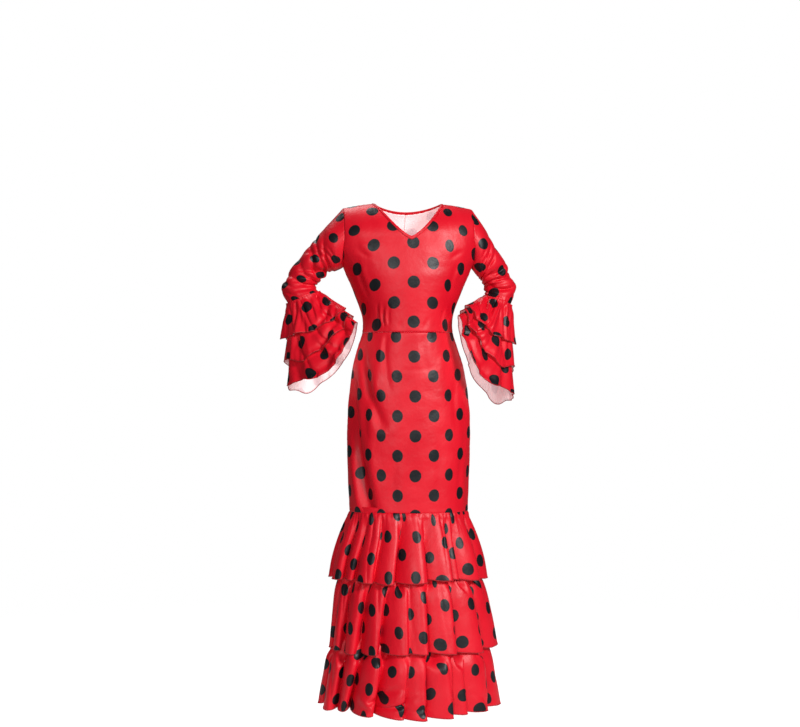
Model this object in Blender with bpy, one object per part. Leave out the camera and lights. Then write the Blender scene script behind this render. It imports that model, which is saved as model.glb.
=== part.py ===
"""A child's flamenco dress, hollow as it is worn, with the hands on the hips.

Frame: origin between the shoulders on the line of the shoulder seams, +Z up, the front faces -Y and the
wearer's left is +X.  Lengths in the tables are millimetres, angles are degrees.  Angles round the body start
at the centre front and grow towards the wearer's left.
"""

import math

import bmesh
import bpy
import numpy as np

# ---------------------------------------------------------------- driving dimensions

MM = 0.001  # metres in a millimetre
WALL = 1.6  # cloth
TRIM_WALL = 1.2  # placket
SEAM = 0.3  # gap between two pieces that are sewn together
ARMHOLE_GAP = 0.4

UNDERARM = -131.0
WAIST = -264.0
SKIRT_FOOT = -629.0
SHOULDER_START = -70.0  # above this level the panels turn over towards the shoulder seam
SHOULDER_ROUND = 1.15  # 1 would make that turn a quarter of an ellipse
RIDGE_Y = 2.0  # shoulder seam, front to back
TIP_DROP = 10.0  # how far the seam falls from the neck to the armhole
TIP_CURVE = 1.5

NECK_HALF = 68.0
NECK_FRONT = 69.5  # depth of the V
NECK_BACK = 14.0
NECK_CURVE = 1.4  # 1 would make the V's sides straight
V_MITRE = 1.25  # how much further a margin reaches down at the V's point
ARMHOLE_HALF = 43.0  # front to back

BINDING_WIDTH = 6.0
BINDING_SWELL = 0.2  # how far it stands out past the panels
PLACKET_WIDTH = 18.0
PLACKET_LAP = 5.0  # how far it passes the centre back on the wearer's right
PLACKET_FOOT = -371.0
PLACKET_TOP = 0.93  # how far up the last row of the back panel it reaches
TRIM_GAP = 0.45  # from the back panels to the placket

RED = (0.76, 0.018, 0.035)
SHEEN = 0.42  # roughness of the satin
SHARP_ANGLE = 50.0
FOLD_ONSET = 0.85  # 1 would deepen a ruffle's folds evenly from seam to hem
LAYER_GAP = 5.0  # least room between two ruffle layers, wall included
HEM_SWING = 4.0  # how far a hem may hang below its mean height
LAYER_RELEASE = 1.1  # how fast a lower ruffle swells out below the hem that held it in
LAYER_SOFTNESS = 5.0


def table(columns, *rows):
    """A small table, as a dictionary from column name to an array."""
    return dict(zip(columns.split(), np.array(rows, float).T))


BODY = table(
    "rise half_width front_depth back_depth squareness shift",
    (-640, 121.0, 88, 92, 2.2, 2.5),
    (-570, 124.0, 88, 95, 2.2, 2.5),
    (-513, 126.0, 88, 98, 2.2, 2.5),
    (-469, 126.5, 88, 99, 2.2, 2.5),
    (-420, 124.5, 87, 97, 2.2, 2.5),
    (-361, 118.0, 86, 90, 2.15, 1.8),
    (-323, 111.0, 85, 82, 2.1, 0.8),
    (-290, 101.0, 84, 76, 2.1, 0),
    (-264, 93.0, 83, 73, 2.1, 0),
    (-232, 93.0, 83, 73, 2.1, 0),
    (-211, 99.0, 84, 74, 2.1, 0),
    (-193, 106.0, 85, 75, 2.1, 0),
    (-168, 116.0, 86, 77, 2.1, 0),
    (-146, 126.0, 86, 78, 2.1, 0),
    (-131, 132.0, 84, 78, 2.15, 0),
    (-116, 141.0, 82, 78, 2.2, 0),
    (-100, 147.0, 80, 77, 2.3, 0),
    (-70, 152.0, 74, 74, 2.4, 0),
)

# Long soft troughs of the skirt.  A negative depth is a ridge.  Drift is a fold's turn on its way down.
SKIRT_FOLDS = table(
    "angle top foot drift depth spread",
    (-62, -300, -560, 26, 4.5, 9),
    (-76, -300, -560, 26, -2.5, 9),
    (-20, -470, -700, 4, 2.0, 14),
    (40, -300, -480, 10, 1.8, 11),
    (74, -420, -690, -6, 2.4, 10),
    (128, -330, -600, -12, 3.5, 10),
    (180, -430, -700, 3, 4.0, 14),
    (-130, -360, -640, 10, 3.5, 11),
)

# The underskirt tube that carries the second and the third ruffle.
BASE = table(
    "rise half_width front_depth back_depth squareness shift",
    (-640, 119.0, 85.5, 89.5, 2.15, 2.5),
    (-735, 130.0, 97.0, 103.0, 2.0, 1.5),
    (-886, 139.0, 107.0, 113.0, 2.0, 1.0),
)
BASE_TOP = -617.0  # it is sewn in just above the ruffle seam
BASE_FREE = -650.0  # from here down it hangs clear of the skirt
BASE_RISES = (BASE_TOP, SKIRT_FOOT, BASE_FREE, -735, -810, -886)

TIER_1 = table(
    "rise half_width front_depth back_depth squareness shift",
    (-629, 121.2, 88.0, 92.3, 2.2, 2.5),
    (-650, 131.0, 97.0, 101.0, 2.1, 2.2),
    (-680, 142.0, 108.0, 111.0, 2.0, 1.8),
    (-720, 153.0, 121.0, 123.0, 2.0, 1.2),
    (-768, 160.5, 131.0, 133.0, 2.0, 0.8),
)
TIER_2 = table(
    "rise half_width front_depth back_depth squareness shift",
    (-735, 132.2, 99.2, 105.2, 2.0, 1.5),
    (-775, 151.0, 124.0, 126.0, 2.0, 2.0),
    (-836, 163.5, 138.0, 140.0, 2.0, 3.0),
    (-912, 173.0, 149.0, 151.0, 2.0, 4.0),
)
TIER_3 = table(
    "rise half_width front_depth back_depth squareness shift",
    (-872, 140.4, 108.4, 114.4, 2.0, 1.0),
    (-914, 167.0, 143.0, 145.0, 2.0, 2.5),
    (-976, 180.0, 155.0, 157.0, 2.0, 2.5),
    (-1036, 188.0, 162.0, 164.0, 2.0, 2.0),
)

# Valleys between a ruffle's folds, measured at its hem.  A negative depth is a fold that stands out.
VALLEYS_1 = table(
    "angle depth width drift",
    (-64, 12, 5.0, 4),
    (-50, 13, 4.5, 5),
    (-31, 11, 5.0, 4),
    (-12.5, 16, 4.5, 2),
    (12.5, 16, 5.0, -3),
    (32, 14, 4.0, -4),
    (42, 13, 4.0, -6),
    (63, 12, 5.0, -5),
    (92, 13, 6.0, 3),
    (114, 13, 5.5, 5),
    (139, 15, 5.5, -2),
    (164, 12, 5.5, 3),
    (-170, 15, 5.5, -3),
    (-144, 12, 6.0, 4),
    (-117, 14, 5.5, 3),
    (-90, 11, 6.0, 3),
)
VALLEYS_2 = table(
    "angle depth width drift",
    (-62, 13, 5.5, 4),
    (-42, 17, 5.0, 5),
    (-23, 14, 5.0, 2),
    (-5, 6, 4.5, -2),
    (13.5, 17, 5.0, -2),
    (35, 15, 5.0, -4),
    (60, 14, 5.0, -6),
    (80, -8, 9.0, 0),
    (99, 12, 6.0, 3),
    (122, 15, 5.5, 4),
    (146, 13, 5.5, -3),
    (168, 16, 5.5, 2),
    (-168, 11, 5.5, -3),
    (-145, 15, 5.5, 4),
    (-121, 13, 5.5, 2),
    (-98, 15, 5.5, 4),
    (-80, 9, 5.0, 3),
)
VALLEYS_3 = table(
    "angle depth width drift",
    (-61, 13, 5.0, 4),
    (-46, 18, 4.5, 7),
    (-24, 15, 5.0, 4),
    (-6, 9, 4.5, 2),
    (12.5, 18, 5.0, -3),
    (30, 14, 4.0, -2),
    (42, 12, 4.0, -3),
    (61, 13, 5.5, 4),
    (84, 11, 6.0, -3),
    (106, 16, 5.5, 3),
    (129, 12, 6.0, -4),
    (153, 17, 5.5, 4),
    (177, 13, 5.5, 2),
    (-159, 16, 5.5, -3),
    (-133, 12, 6.0, 4),
    (-108, 16, 5.5, 2),
    (-84, 11, 6.0, 4),
)

# Sections of each sleeve below its armhole.  Centre, then the half width towards the inner side of the bend,
# then the half depth towards the front.
RIGHT_ARM = table(
    "x y z inner_x inner_z depth",
    (-134.4, 0, -70.0, 1.0, -60.5, 44.0),
    (-153.0, 3, -88.0, 6.0, -50.0, 44.0),
    (-167.0, 7, -101.0, 14.0, -38.5, 39.0),
    (-180.0, 12, -114.5, 20.0, -29.0, 36.0),
    (-198.0, 20, -134.5, 25.0, -22.5, 35.0),
    (-214.0, 26, -153.5, 31.5, -10.5, 35.5),
    (-221.5, 27, -173.0, 37.0, 0.5, 37.0),
    (-213.5, 18, -191.0, 31.5, 12.0, 33.0),
)
LEFT_ARM = table(
    "x y z inner_x inner_z depth",
    (134.4, 0, -70.0, -1.0, -60.5, 44.0),
    (149.0, 3, -92.0, -6.0, -52.0, 44.0),
    (160.0, 7, -110.0, -11.5, -42.0, 39.0),
    (171.0, 12, -126.5, -18.0, -31.5, 36.0),
    (183.0, 20, -140.5, -23.5, -23.0, 35.0),
    (191.0, 26, -154.5, -29.5, -12.5, 35.0),
    (196.0, 27, -172.0, -34.5, -3.5, 35.0),
    (190.5, 18, -196.0, -26.0, 9.5, 31.0),
)
SEAM_RING = 7.0  # the section where the cuff ruffles are sewn on
ARMHOLE_FADE = 1.6  # how many sections down the armhole's shape carries
ARM_RINGS = (0, 0.6, 1.4, 2.2, 3, 3.6, 4.2, 4.8, 5.3, 5.8, 6.3, SEAM_RING)

# Creases of the sleeves.  Ring and reach are counted in sections, angle runs from the inner side over the
# front, and slant is how many sections a crease climbs in SLANT_TURN degrees.
SLANT_TURN = 60.0
RIGHT_CREASES = table(
    "ring reach angle spread depth slant",
    (2.6, 0.35, 20, 50, 3.0, 0.5),
    (3.7, 0.35, 60, 60, 3.0, 0.6),
    (4.8, 0.30, 110, 60, 3.2, 0.4),
    (5.7, 0.30, 70, 75, 3.5, 0.1),
    (5.0, 0.35, 250, 60, 3.0, -0.3),
    (3.4, 0.40, 290, 60, 3.0, -0.4),
)
LEFT_CREASES = table(
    "ring reach angle spread depth slant",
    (2.8, 0.35, 40, 55, 3.0, 0.5),
    (4.0, 0.35, 80, 60, 3.2, 0.4),
    (5.4, 0.30, 60, 80, 4.0, 0.1),
    (5.0, 0.35, 150, 55, 3.0, 0.3),
    (4.7, 0.35, 250, 60, 3.0, -0.3),
    (3.2, 0.40, 300, 60, 3.0, -0.4),
)

# The hem ring of the lowest cuff ruffle: its middle, the way to the hand, the way to the front, and the sag of
# its front and back below the straight line between its two ends.
RIGHT_CUFF = {
    "middle": (-179, -30, -307),
    "hand": (72, -18, 66),
    "front": (-8, -70, 14),
    "sag": (14, 0, -41),
}
LEFT_CUFF = {
    "middle": (160, -36, -309),
    "hand": (-63, -24, 83),
    "front": (-4, -66, 19),
    "sag": (-14, 0, -51),
}

# How far down that surface each cuff ruffle reaches: everywhere, and so much more at the hand.
CUFF_LAYERS = table(
    "reach at_hand lift outer_lift",
    (0.49, 0.20, 3.5, 10.0),
    (0.74, 0.10, 3.0, 3.0),
    (1.00, 0.00, 0.0, 0.0),
)
LAYER_STEP = 0.45  # gap between cuff ruffles at their seam
CUFF_ROOM = 2.6  # more room between them away from the seam
SEAM_SHARE = 0.12  # how far down the ruffles stand square to the seam
BELL_START = 0.55  # how long the bell runs on along the arm before it spreads
BELL_END = 1.0

CUFF_VALLEYS = table(
    "angle depth width drift",
    (18, 6, 12, 4),
    (62, 9, 11, -6),
    (104, 7, 12, 6),
    (147, 9, 12, -5),
    (190, 6, 13, 4),
    (232, 9, 11, -4),
    (275, 7, 12, 6),
    (318, 8, 12, -4),
)
CUFF_TURN = (0.0, 21.0, 8.0)  # the layers' valleys don't lie over each other

# Rows of the panels' meshes, from the bottom up
BODICE_RISES = (WAIST + SEAM / 2, -246, -222, -198, -174, -152, UNDERARM)
SKIRT_RISES = (SKIRT_FOOT + SEAM / 2, -590, -545, -500, -455, -410, -370, -335, -305, -282, WAIST - SEAM / 2)

# Steps that normals are measured over
TURN_STEP = 0.004  # round a section, in radians
LENGTH_STEP = 0.4
DOWN_STEP = 0.004  # of a cuff's length
RING_STEP = 0.02  # of the way from one section of a sleeve to the next

# Mesh counts
BODY_HALF_COLUMNS = 8
NECK_COLUMNS = 4  # of those, how many end at the neckline
YOKE_ROWS = 5
TIER_COLUMNS = 90
ARM_COLUMNS = 22
CUFF_COLUMNS = 40


# ---------------------------------------------------------------- small tools


def read(tab, column, at):
    """A smooth curve through one column of a table, over its first column."""
    key, value = next(iter(tab.values())), tab[column]
    order = np.argsort(key)
    key, value = key[order], value[order]
    slope = np.gradient(value, key)
    at = np.clip(at, key[0], key[-1])
    i = np.clip(np.searchsorted(key, at) - 1, 0, len(key) - 2)
    gap = key[i + 1] - key[i]
    t = (at - key[i]) / gap
    rise_part = (2 * t**3 - 3 * t**2 + 1) * value[i] + (3 * t**2 - 2 * t**3) * value[i + 1]
    slope_part = (t**3 - 2 * t**2 + t) * slope[i] + (t**3 - t**2) * slope[i + 1]
    return rise_part + slope_part * gap


def by_index(tab, column, at):
    """The same through a column whose rows are numbered 0, 1, 2 and so on."""
    numbered = {"row": np.arange(len(tab[column]), dtype=float), column: tab[column]}
    return read(numbered, column, at)


def ease(t):
    t = np.clip(t, 0, 1)
    return t * t * (3 - 2 * t)


def signed_power(value, power):
    return np.sign(value) * np.abs(value) ** power


def turn_between(a, b):
    """The angle from b to a, in degrees, from -180 to 180."""
    return (a - b + 180) % 360 - 180


def least(a, b, softness):
    """The smaller of two, rounded where they cross."""
    mixed = np.clip(0.5 + 0.5 * (b - a) / softness, 0, 1)
    return b + (a - b) * mixed - softness * mixed * (1 - mixed)


def stack(x, y, z):
    return np.stack(np.broadcast_arrays(x, y, z), axis=-1)


def unit(vectors):
    return vectors / np.linalg.norm(vectors, axis=-1, keepdims=True)


def normals_of(surface, u, v, du, dv, facing):
    """Unit normals of surface(u, v), by central differences of du and dv."""
    along_u = surface(u + du, v) - surface(u - du, v)
    along_v = surface(u, v + dv) - surface(u, v - dv)
    return facing * unit(np.cross(along_u, along_v))


def satin(name):
    material = bpy.data.materials.new(name)
    material.use_nodes = True
    shader = material.node_tree.nodes["Principled BSDF"]
    shader.inputs["Base Color"].default_value = (*RED, 1)
    shader.inputs["Roughness"].default_value = SHEEN
    shader.inputs["Metallic"].default_value = 0.0
    material.diffuse_color = (*RED, 1)
    return material


def add_object(name, vertices, faces):
    mesh = bpy.data.meshes.new(name)
    mesh.from_pydata([tuple(p * MM) for p in vertices], [], faces)
    shape = bmesh.new()
    shape.from_mesh(mesh)
    bmesh.ops.recalc_face_normals(shape, faces=shape.faces)
    shape.to_mesh(mesh)
    shape.free()
    mesh.shade_smooth()
    mesh.set_sharp_from_angle(angle=math.radians(SHARP_ANGLE))
    mesh.materials.append(satin(name))
    made = bpy.data.objects.new(name, mesh)
    bpy.context.collection.objects.link(made)
    return made


def triangles(points, closed):
    """Each cell of a grid as two triangles, split along its shorter diagonal."""
    rows, columns = points.shape[:2]
    found = []
    for row in range(rows - 1):
        for column in range(columns if closed else columns - 1):
            beside = (column + 1) % columns
            a, b, c, d = (row, column), (row, beside), (row + 1, beside), (row + 1, column)
            if np.linalg.norm(points[a] - points[c]) < np.linalg.norm(points[b] - points[d]):
                found += [(a, b, c), (a, c, d)]
            else:
                found += [(a, b, d), (b, c, d)]
    return [tuple(row * columns + column for row, column in triangle) for triangle in found]


def wall(name, outer, inner, closed):
    """A closed wall between two grids of points, rows by columns.  A closed grid is a tube."""
    rows, columns = outer.shape[:2]
    count = rows * columns
    faces = triangles(outer, closed)
    faces += [tuple(count + corner for corner in triangle) for triangle in faces]
    for column in range(columns if closed else columns - 1):
        beside = (column + 1) % columns
        for row in (0, (rows - 1) * columns):
            first, second = row + column, row + beside
            faces.append((first, second, count + second, count + first))
    if not closed:
        for row in range(rows - 1):
            for column in (0, columns - 1):
                first, second = row * columns + column, (row + 1) * columns + column
                faces.append((first, second, count + second, count + first))
    return add_object(name, np.concatenate([outer.reshape(-1, 3), inner.reshape(-1, 3)]), faces)


# ---------------------------------------------------------------- bodice and skirt


def skirt_folds(theta, rise):
    """How far the skirt stands out from its plain section because of its long folds."""
    angle = 90 - np.degrees(theta)
    out = np.zeros(np.broadcast(theta, rise).shape)
    for i in range(len(SKIRT_FOLDS["angle"])):
        fold = {name: column[i] for name, column in SKIRT_FOLDS.items()}
        down = (fold["top"] - rise) / (fold["top"] - fold["foot"])
        off = turn_between(angle, fold["angle"] + fold["drift"] * down)
        along = np.sin(np.pi * np.clip(down, 0, 1)) ** 2
        out -= fold["depth"] * along * np.exp(-((off / fold["spread"]) ** 2))
    return out


def section_point(sections, theta, height, swell):
    """A point of a rounded section, front and back depths apart, swollen evenly."""
    front, back = read(sections, "front_depth", height), read(sections, "back_depth", height)
    depth = np.where(np.sin(theta) > 0, front, back) + swell
    power = 2 / read(sections, "squareness", height)
    x = (read(sections, "half_width", height) + swell) * signed_power(np.cos(theta), power)
    return stack(x + read(sections, "shift", height), -depth * signed_power(np.sin(theta), power), height)


def body_point(theta, rise):
    """The body's surface.  Theta is 0 at the wearer's left side and 90 degrees at the centre front.  Rise is
    the height, and above SHOULDER_START it counts the turn up to the shoulder seam instead."""
    level = np.minimum(rise, SHOULDER_START)
    plain = section_point(BODY, theta, level, skirt_folds(theta, rise))
    x, y = plain[..., 0], plain[..., 1]
    turn = np.clip((rise - SHOULDER_START) / -SHOULDER_START, 0, 1) * math.pi / 2
    beyond_neck = np.clip((np.abs(x) - NECK_HALF) / (armhole_x(0.0) - NECK_HALF), 0, 2)
    ridge = -TIP_DROP * beyond_neck**TIP_CURVE
    y = RIDGE_Y + (y - RIDGE_Y) * np.cos(turn) ** SHOULDER_ROUND
    z = level + (ridge - SHOULDER_START) * np.sin(turn) ** SHOULDER_ROUND
    return stack(x, y, z)


def body_normals(theta, rise):
    return normals_of(body_point, theta, rise, TURN_STEP, LENGTH_STEP, -1)


def armhole_theta(rise, front):
    """Where the armhole's edge lies at a height, as an angle from the side."""
    level = np.minimum(rise, SHOULDER_START)
    below = np.clip((SHOULDER_START - level) / (SHOULDER_START - UNDERARM), 0, 1)
    edge = ARMHOLE_HALF * np.sqrt(1 - below**2)
    depth = read(BODY, "front_depth" if front else "back_depth", level)
    return np.arcsin((edge / depth) ** (read(BODY, "squareness", level) / 2))


def armhole_x(rise, front=True):
    level = np.minimum(rise, SHOULDER_START)
    power = 2 / read(BODY, "squareness", level)
    return read(BODY, "half_width", level) * np.cos(armhole_theta(rise, front)) ** power


def neck_rise(x, front, margin):
    """The neckline, or a line at a margin round it, as a rise, at a distance x from the middle."""
    if front:
        depth, curve = NECK_FRONT + V_MITRE * margin, NECK_CURVE
    else:
        depth, curve = NECK_BACK + margin, 2.0
    height = -depth * (1 - np.clip(np.abs(x) / (NECK_HALF + margin), 0, 1) ** curve)
    above = np.clip(1 + height / -SHOULDER_START, 0, 1) ** (1 / SHOULDER_ROUND)
    turned = SHOULDER_START * (1 - np.arcsin(above) / (math.pi / 2))
    return np.where(height < SHOULDER_START, height, turned)


def theta_at(x, rise, front, side):
    """The body angle of a point at a distance x from the middle."""
    level = np.minimum(rise, SHOULDER_START)
    reach = np.clip(x / read(BODY, "half_width", level), 0, 1) ** (read(BODY, "squareness", level) / 2)
    from_middle = np.arcsin(reach)
    return math.pi / 2 - side * from_middle if front else -math.pi / 2 + side * from_middle


def half_grid(front, side):
    """Angles and rises of one half of a bodice panel.  Its columns run from the middle to the side."""
    share = np.linspace(0, 1, BODY_HALF_COLUMNS + 1)
    neck_share = NECK_COLUMNS / BODY_HALF_COLUMNS
    tip = armhole_x(0.0, front)
    margin = BINDING_WIDTH + SEAM
    neck = NECK_HALF + margin
    along_seam = (share - neck_share) / (1 - neck_share)
    top_x = np.where(share <= neck_share, neck * share / neck_share, neck + (tip - neck) * along_seam)
    top_rise = np.where(share < neck_share, neck_rise(top_x, front, margin), 0.0)
    thetas, rises = [], []
    for rise in BODICE_RISES:
        from_middle = share * math.pi / 2
        thetas.append(math.pi / 2 - side * from_middle if front else -math.pi / 2 + side * from_middle)
        rises.append(np.full_like(share, rise))
    low_part = np.sin(share * math.pi / 2) ** (2 / read(BODY, "squareness", UNDERARM))
    for row in range(1, YOKE_ROWS + 1):
        up = row / YOKE_ROWS
        rise = UNDERARM + (top_rise - UNDERARM) * up
        edge = armhole_x(rise, front)
        x = edge * (low_part + (top_x / tip - low_part) * ease(up))
        thetas.append(theta_at(x, rise, front, side))
        rises.append(rise)
    return np.array(thetas), np.array(rises)


def keep_seams(points, front, split_middle):
    """Leaves half a seam's gap at the side and shoulder seams and, where there is one, the centre back."""
    half = SEAM / 2
    x, y, z = points[..., 0], points[..., 1], points[..., 2]
    middle = np.where(z > UNDERARM, RIDGE_Y * ease((z - UNDERARM) / -UNDERARM), 0.0)
    y[...] = np.minimum(y, middle - half) if front else np.maximum(y, middle + half)
    if split_middle:
        x[...] = np.where(np.abs(x) < half, split_middle * half, x)
    return points


def body_panel(name, thetas, rises, front, split_middle=0):
    outer = body_point(thetas, rises)
    normals = body_normals(thetas, rises)
    inner = outer - normals * WALL
    keep_seams(outer, front, split_middle)
    keep_seams(inner, front, split_middle)
    wall(name, outer, inner, closed=False)


def bodice():
    left_theta, left_rise = half_grid(True, 1)
    right_theta, right_rise = half_grid(True, -1)
    thetas = np.concatenate([right_theta[:, :0:-1], left_theta], axis=1)
    rises = np.concatenate([right_rise[:, :0:-1], left_rise], axis=1)
    body_panel("bodice_front", thetas, rises, front=True)
    for name, side in (("bodice_back_left", 1), ("bodice_back_right", -1)):
        thetas, rises = half_grid(False, side)
        body_panel(name, thetas, rises, front=False, split_middle=side)


def skirt():
    whole = np.linspace(0, math.pi, 2 * BODY_HALF_COLUMNS + 1)
    thetas, rises = np.meshgrid(whole, SKIRT_RISES)
    body_panel("skirt_front", thetas, rises, front=True)
    half = np.linspace(0, math.pi / 2, BODY_HALF_COLUMNS + 1)
    for name, side in (("skirt_back_left", 1), ("skirt_back_right", -1)):
        thetas, rises = np.meshgrid(-math.pi / 2 + side * half, SKIRT_RISES)
        body_panel(name, thetas, rises, front=False, split_middle=side)


def neck_binding():
    """The bound edge of the neckline, a strip that ends at each side of the centre back."""
    shares = np.linspace(0, 1, NECK_COLUMNS + 1)
    path = [(share, False) for share in shares[:-1]] + [(share, True) for share in shares[::-1]]
    outer, inner = [], []
    for margin in (BINDING_WIDTH, BINDING_WIDTH / 2, 0.0):
        thetas, rises = [], []
        for side, half in ((-1, path), (1, path[-2::-1])):
            for share, front in half:
                x = (NECK_HALF + margin) * share
                rise = neck_rise(x, front, margin)
                thetas.append(theta_at(x, rise, front, side))
                rises.append(rise)
        thetas, rises = np.array(thetas), np.array(rises)
        points = body_point(thetas, rises)
        normals = body_normals(thetas, rises)
        for row, offset in ((outer, BINDING_SWELL), (inner, BINDING_SWELL - WALL)):
            line = points + normals * offset
            line[0, 0], line[-1, 0] = -SEAM / 2, SEAM / 2
            row.append(line)
    wall("neck_binding", np.array(outer), np.array(inner), closed=False)


def back_placket():
    """The lapped strip that closes the centre back, from the binding down past the waist."""
    strips = {}
    for side in (1, -1):
        thetas, rises = half_grid(False, side)
        low = [rise for rise in SKIRT_RISES if rise >= PLACKET_FOOT]
        low_theta = -math.pi / 2 + side * np.array([0, math.pi / 2 / BODY_HALF_COLUMNS])
        thetas = np.concatenate([np.tile(low_theta, (len(low), 1)), thetas[:, :2]])
        rises = np.concatenate([np.repeat(np.array(low)[:, None], 2, axis=1), rises[:, :2]])
        points = body_point(thetas, rises)
        normals = body_normals(thetas, rises)
        strips[side] = points, normals
    outer, inner = [], []
    for offset in (-PLACKET_LAP, 0.0, PLACKET_WIDTH - PLACKET_LAP):
        points, normals = strips[1 if offset >= 0 else -1]
        share = (abs(offset) / np.abs(points[:, 1, 0] - points[:, 0, 0]))[:, None]
        place = points[:, 0] * (1 - share) + points[:, 1] * share
        normal = unit(normals[:, 0] * (1 - share) + normals[:, 1] * share)
        place[-1] = place[-2] * (1 - PLACKET_TOP) + place[-1] * PLACKET_TOP
        normal[-1] = unit(normal[-2] * (1 - PLACKET_TOP) + normal[-1] * PLACKET_TOP)
        outer.append(place + normal * (TRIM_GAP + TRIM_WALL))
        inner.append(place + normal * TRIM_GAP)
    wall("back_placket", np.array(outer), np.array(inner), closed=False)


# ---------------------------------------------------------------- ruffles of the skirt


def valleys(tab, angle, down):
    """Depth of a ruffle's valleys.  Down is 0 at its seam and 1 at its hem."""
    out = np.zeros(np.broadcast(angle, down).shape)
    for i in range(len(tab["angle"])):
        off = turn_between(angle, tab["angle"][i] + tab["drift"][i] * (1 - down))
        out += tab["depth"][i] * np.exp(-((off / tab["width"][i]) ** 2))
    return out * np.clip(down, 0, 1) ** FOLD_ONSET


def hem_wave(angle, tier):
    """How uneven a hem is cut and hangs."""
    a = np.radians(angle)
    return 2.0 * np.sin(3 * a + 1.3 * tier) + 1.4 * np.sin(5 * a + 2.1 * tier)


SKIRT_TIERS = (
    {"sections": TIER_1, "valleys": VALLEYS_1, "top": SKIRT_FOOT - SEAM / 2, "hem": -764.0},
    {"sections": TIER_2, "valleys": VALLEYS_2, "top": -735.0, "hem": -907.0},
    {"sections": TIER_3, "valleys": VALLEYS_3, "top": -872.0, "hem": -1033.0},
)
TIER_ROWS = ((-650, -684, -724), (-752, -770, -805, -855), (-890, -913, -944, -988))


def tier_swell(number, angle, height):
    """How far a ruffle stands out from its plain section, never through the ruffle that lies over it."""
    tier = SKIRT_TIERS[number]
    down = (tier["top"] - height) / (tier["top"] - tier["hem"])
    free = -valleys(tier["valleys"], angle, np.clip(down, 0, 1))
    if number == 0:
        return free
    over = SKIRT_TIERS[number - 1]
    held = np.maximum(height, over["hem"])
    room = np.minimum(
        read(over["sections"], "half_width", held) - read(tier["sections"], "half_width", height),
        read(over["sections"], "front_depth", held) - read(tier["sections"], "front_depth", height),
    )
    limit = room + tier_swell(number - 1, angle, held) - LAYER_GAP
    limit = limit + LAYER_RELEASE * np.maximum(over["hem"] - HEM_SWING - height, 0)
    return least(free, limit, LAYER_SOFTNESS)


def tier_point(number, theta, height):
    tier = SKIRT_TIERS[number]
    angle = 90 - np.degrees(theta)
    swell = tier_swell(number, angle, height)
    sections = tier["sections"]
    plain = section_point(sections, theta, height, swell)
    down = np.clip((tier["top"] - height) / (tier["top"] - tier["hem"]), 0, 1)
    return plain + stack(0, 0, hem_wave(angle, number) * down**2)


def ring_of_angles(columns):
    return np.arange(columns) * 2 * math.pi / columns


def skirt_ruffles():
    for number, tier in enumerate(SKIRT_TIERS):
        heights = np.array([tier["top"], *TIER_ROWS[number], tier["hem"]])
        thetas, levels = np.meshgrid(ring_of_angles(TIER_COLUMNS), heights)

        def surface(theta, height, number=number):
            return tier_point(number, theta, height)

        outer = surface(thetas, levels)
        inner = outer - normals_of(surface, thetas, levels, TURN_STEP, LENGTH_STEP, -1) * WALL
        wall(f"skirt_ruffle_{number + 1}", outer, inner, closed=True)


def base_point(theta, height):
    """The underskirt: inside the skirt at its top, then a plain tube under the first ruffle."""
    plain = section_point(BASE, theta, height, 0)
    skirt_side = body_point(theta, height) - body_normals(theta, height) * (WALL + SEAM)
    inside = ease((height - BASE_FREE) / (SKIRT_FOOT - BASE_FREE))[..., None]
    return plain + (skirt_side - plain) * inside


def underskirt():
    thetas, levels = np.meshgrid(ring_of_angles(4 * BODY_HALF_COLUMNS), BASE_RISES)
    outer = base_point(thetas, levels)
    inner = outer - normals_of(base_point, thetas, levels, TURN_STEP, LENGTH_STEP, -1) * WALL
    wall("underskirt", outer, inner, closed=True)


# ---------------------------------------------------------------- sleeves


def armhole_loop(phi, side):
    """The armhole's edge.  Phi is 0 at the underarm, 90 degrees at the front and 180 at the shoulder."""
    phi = phi % (2 * math.pi)
    front = phi <= math.pi
    climb = np.where(front, phi, 2 * math.pi - phi) / (math.pi / 2)
    below = UNDERARM + (SHOULDER_START - UNDERARM) * climb
    level = np.where(climb < 1, below, SHOULDER_START * (2 - climb))
    theta = np.where(front, armhole_theta(level, True), -armhole_theta(level, False))
    return body_point(theta if side > 0 else math.pi - theta, level)


def arm_ring(arm, phi, ring):
    """A plain elliptical section of a sleeve."""
    row = np.clip(ring, 0, SEAM_RING)
    cos, sin = np.cos(phi), np.sin(phi)
    x = by_index(arm, "x", row) + by_index(arm, "inner_x", row) * cos
    y = by_index(arm, "y", row) - by_index(arm, "depth", row) * sin
    z = by_index(arm, "z", row) + by_index(arm, "inner_z", row) * cos
    return stack(x, y, z)


def creases(tab, phi, ring):
    angle = np.degrees(phi)
    out = np.zeros(np.broadcast(phi, ring).shape)
    for i in range(len(tab["ring"])):
        crease = {name: column[i] for name, column in tab.items()}
        off = turn_between(angle, crease["angle"])
        middle = crease["ring"] + crease["slant"] * off / SLANT_TURN
        along = np.exp(-((off / crease["spread"]) ** 2))
        out += crease["depth"] * along * np.exp(-(((ring - middle) / crease["reach"]) ** 2))
    return out * ease(ring) * ease((SEAM_RING - ring) * 1.5)


def sleeve_point(arm, tab, side, phi, ring):
    centre = arm_ring(arm, phi, ring)
    middle = (centre + arm_ring(arm, phi + math.pi, ring)) / 2
    centre = centre - unit(centre - middle) * creases(tab, phi, ring)[..., None]
    loop_shift = armhole_loop(phi, side) - arm_ring(arm, phi, np.zeros_like(ring))
    fade = ease(1 - ring / ARMHOLE_FADE)[..., None]
    return centre + loop_shift * fade


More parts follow.
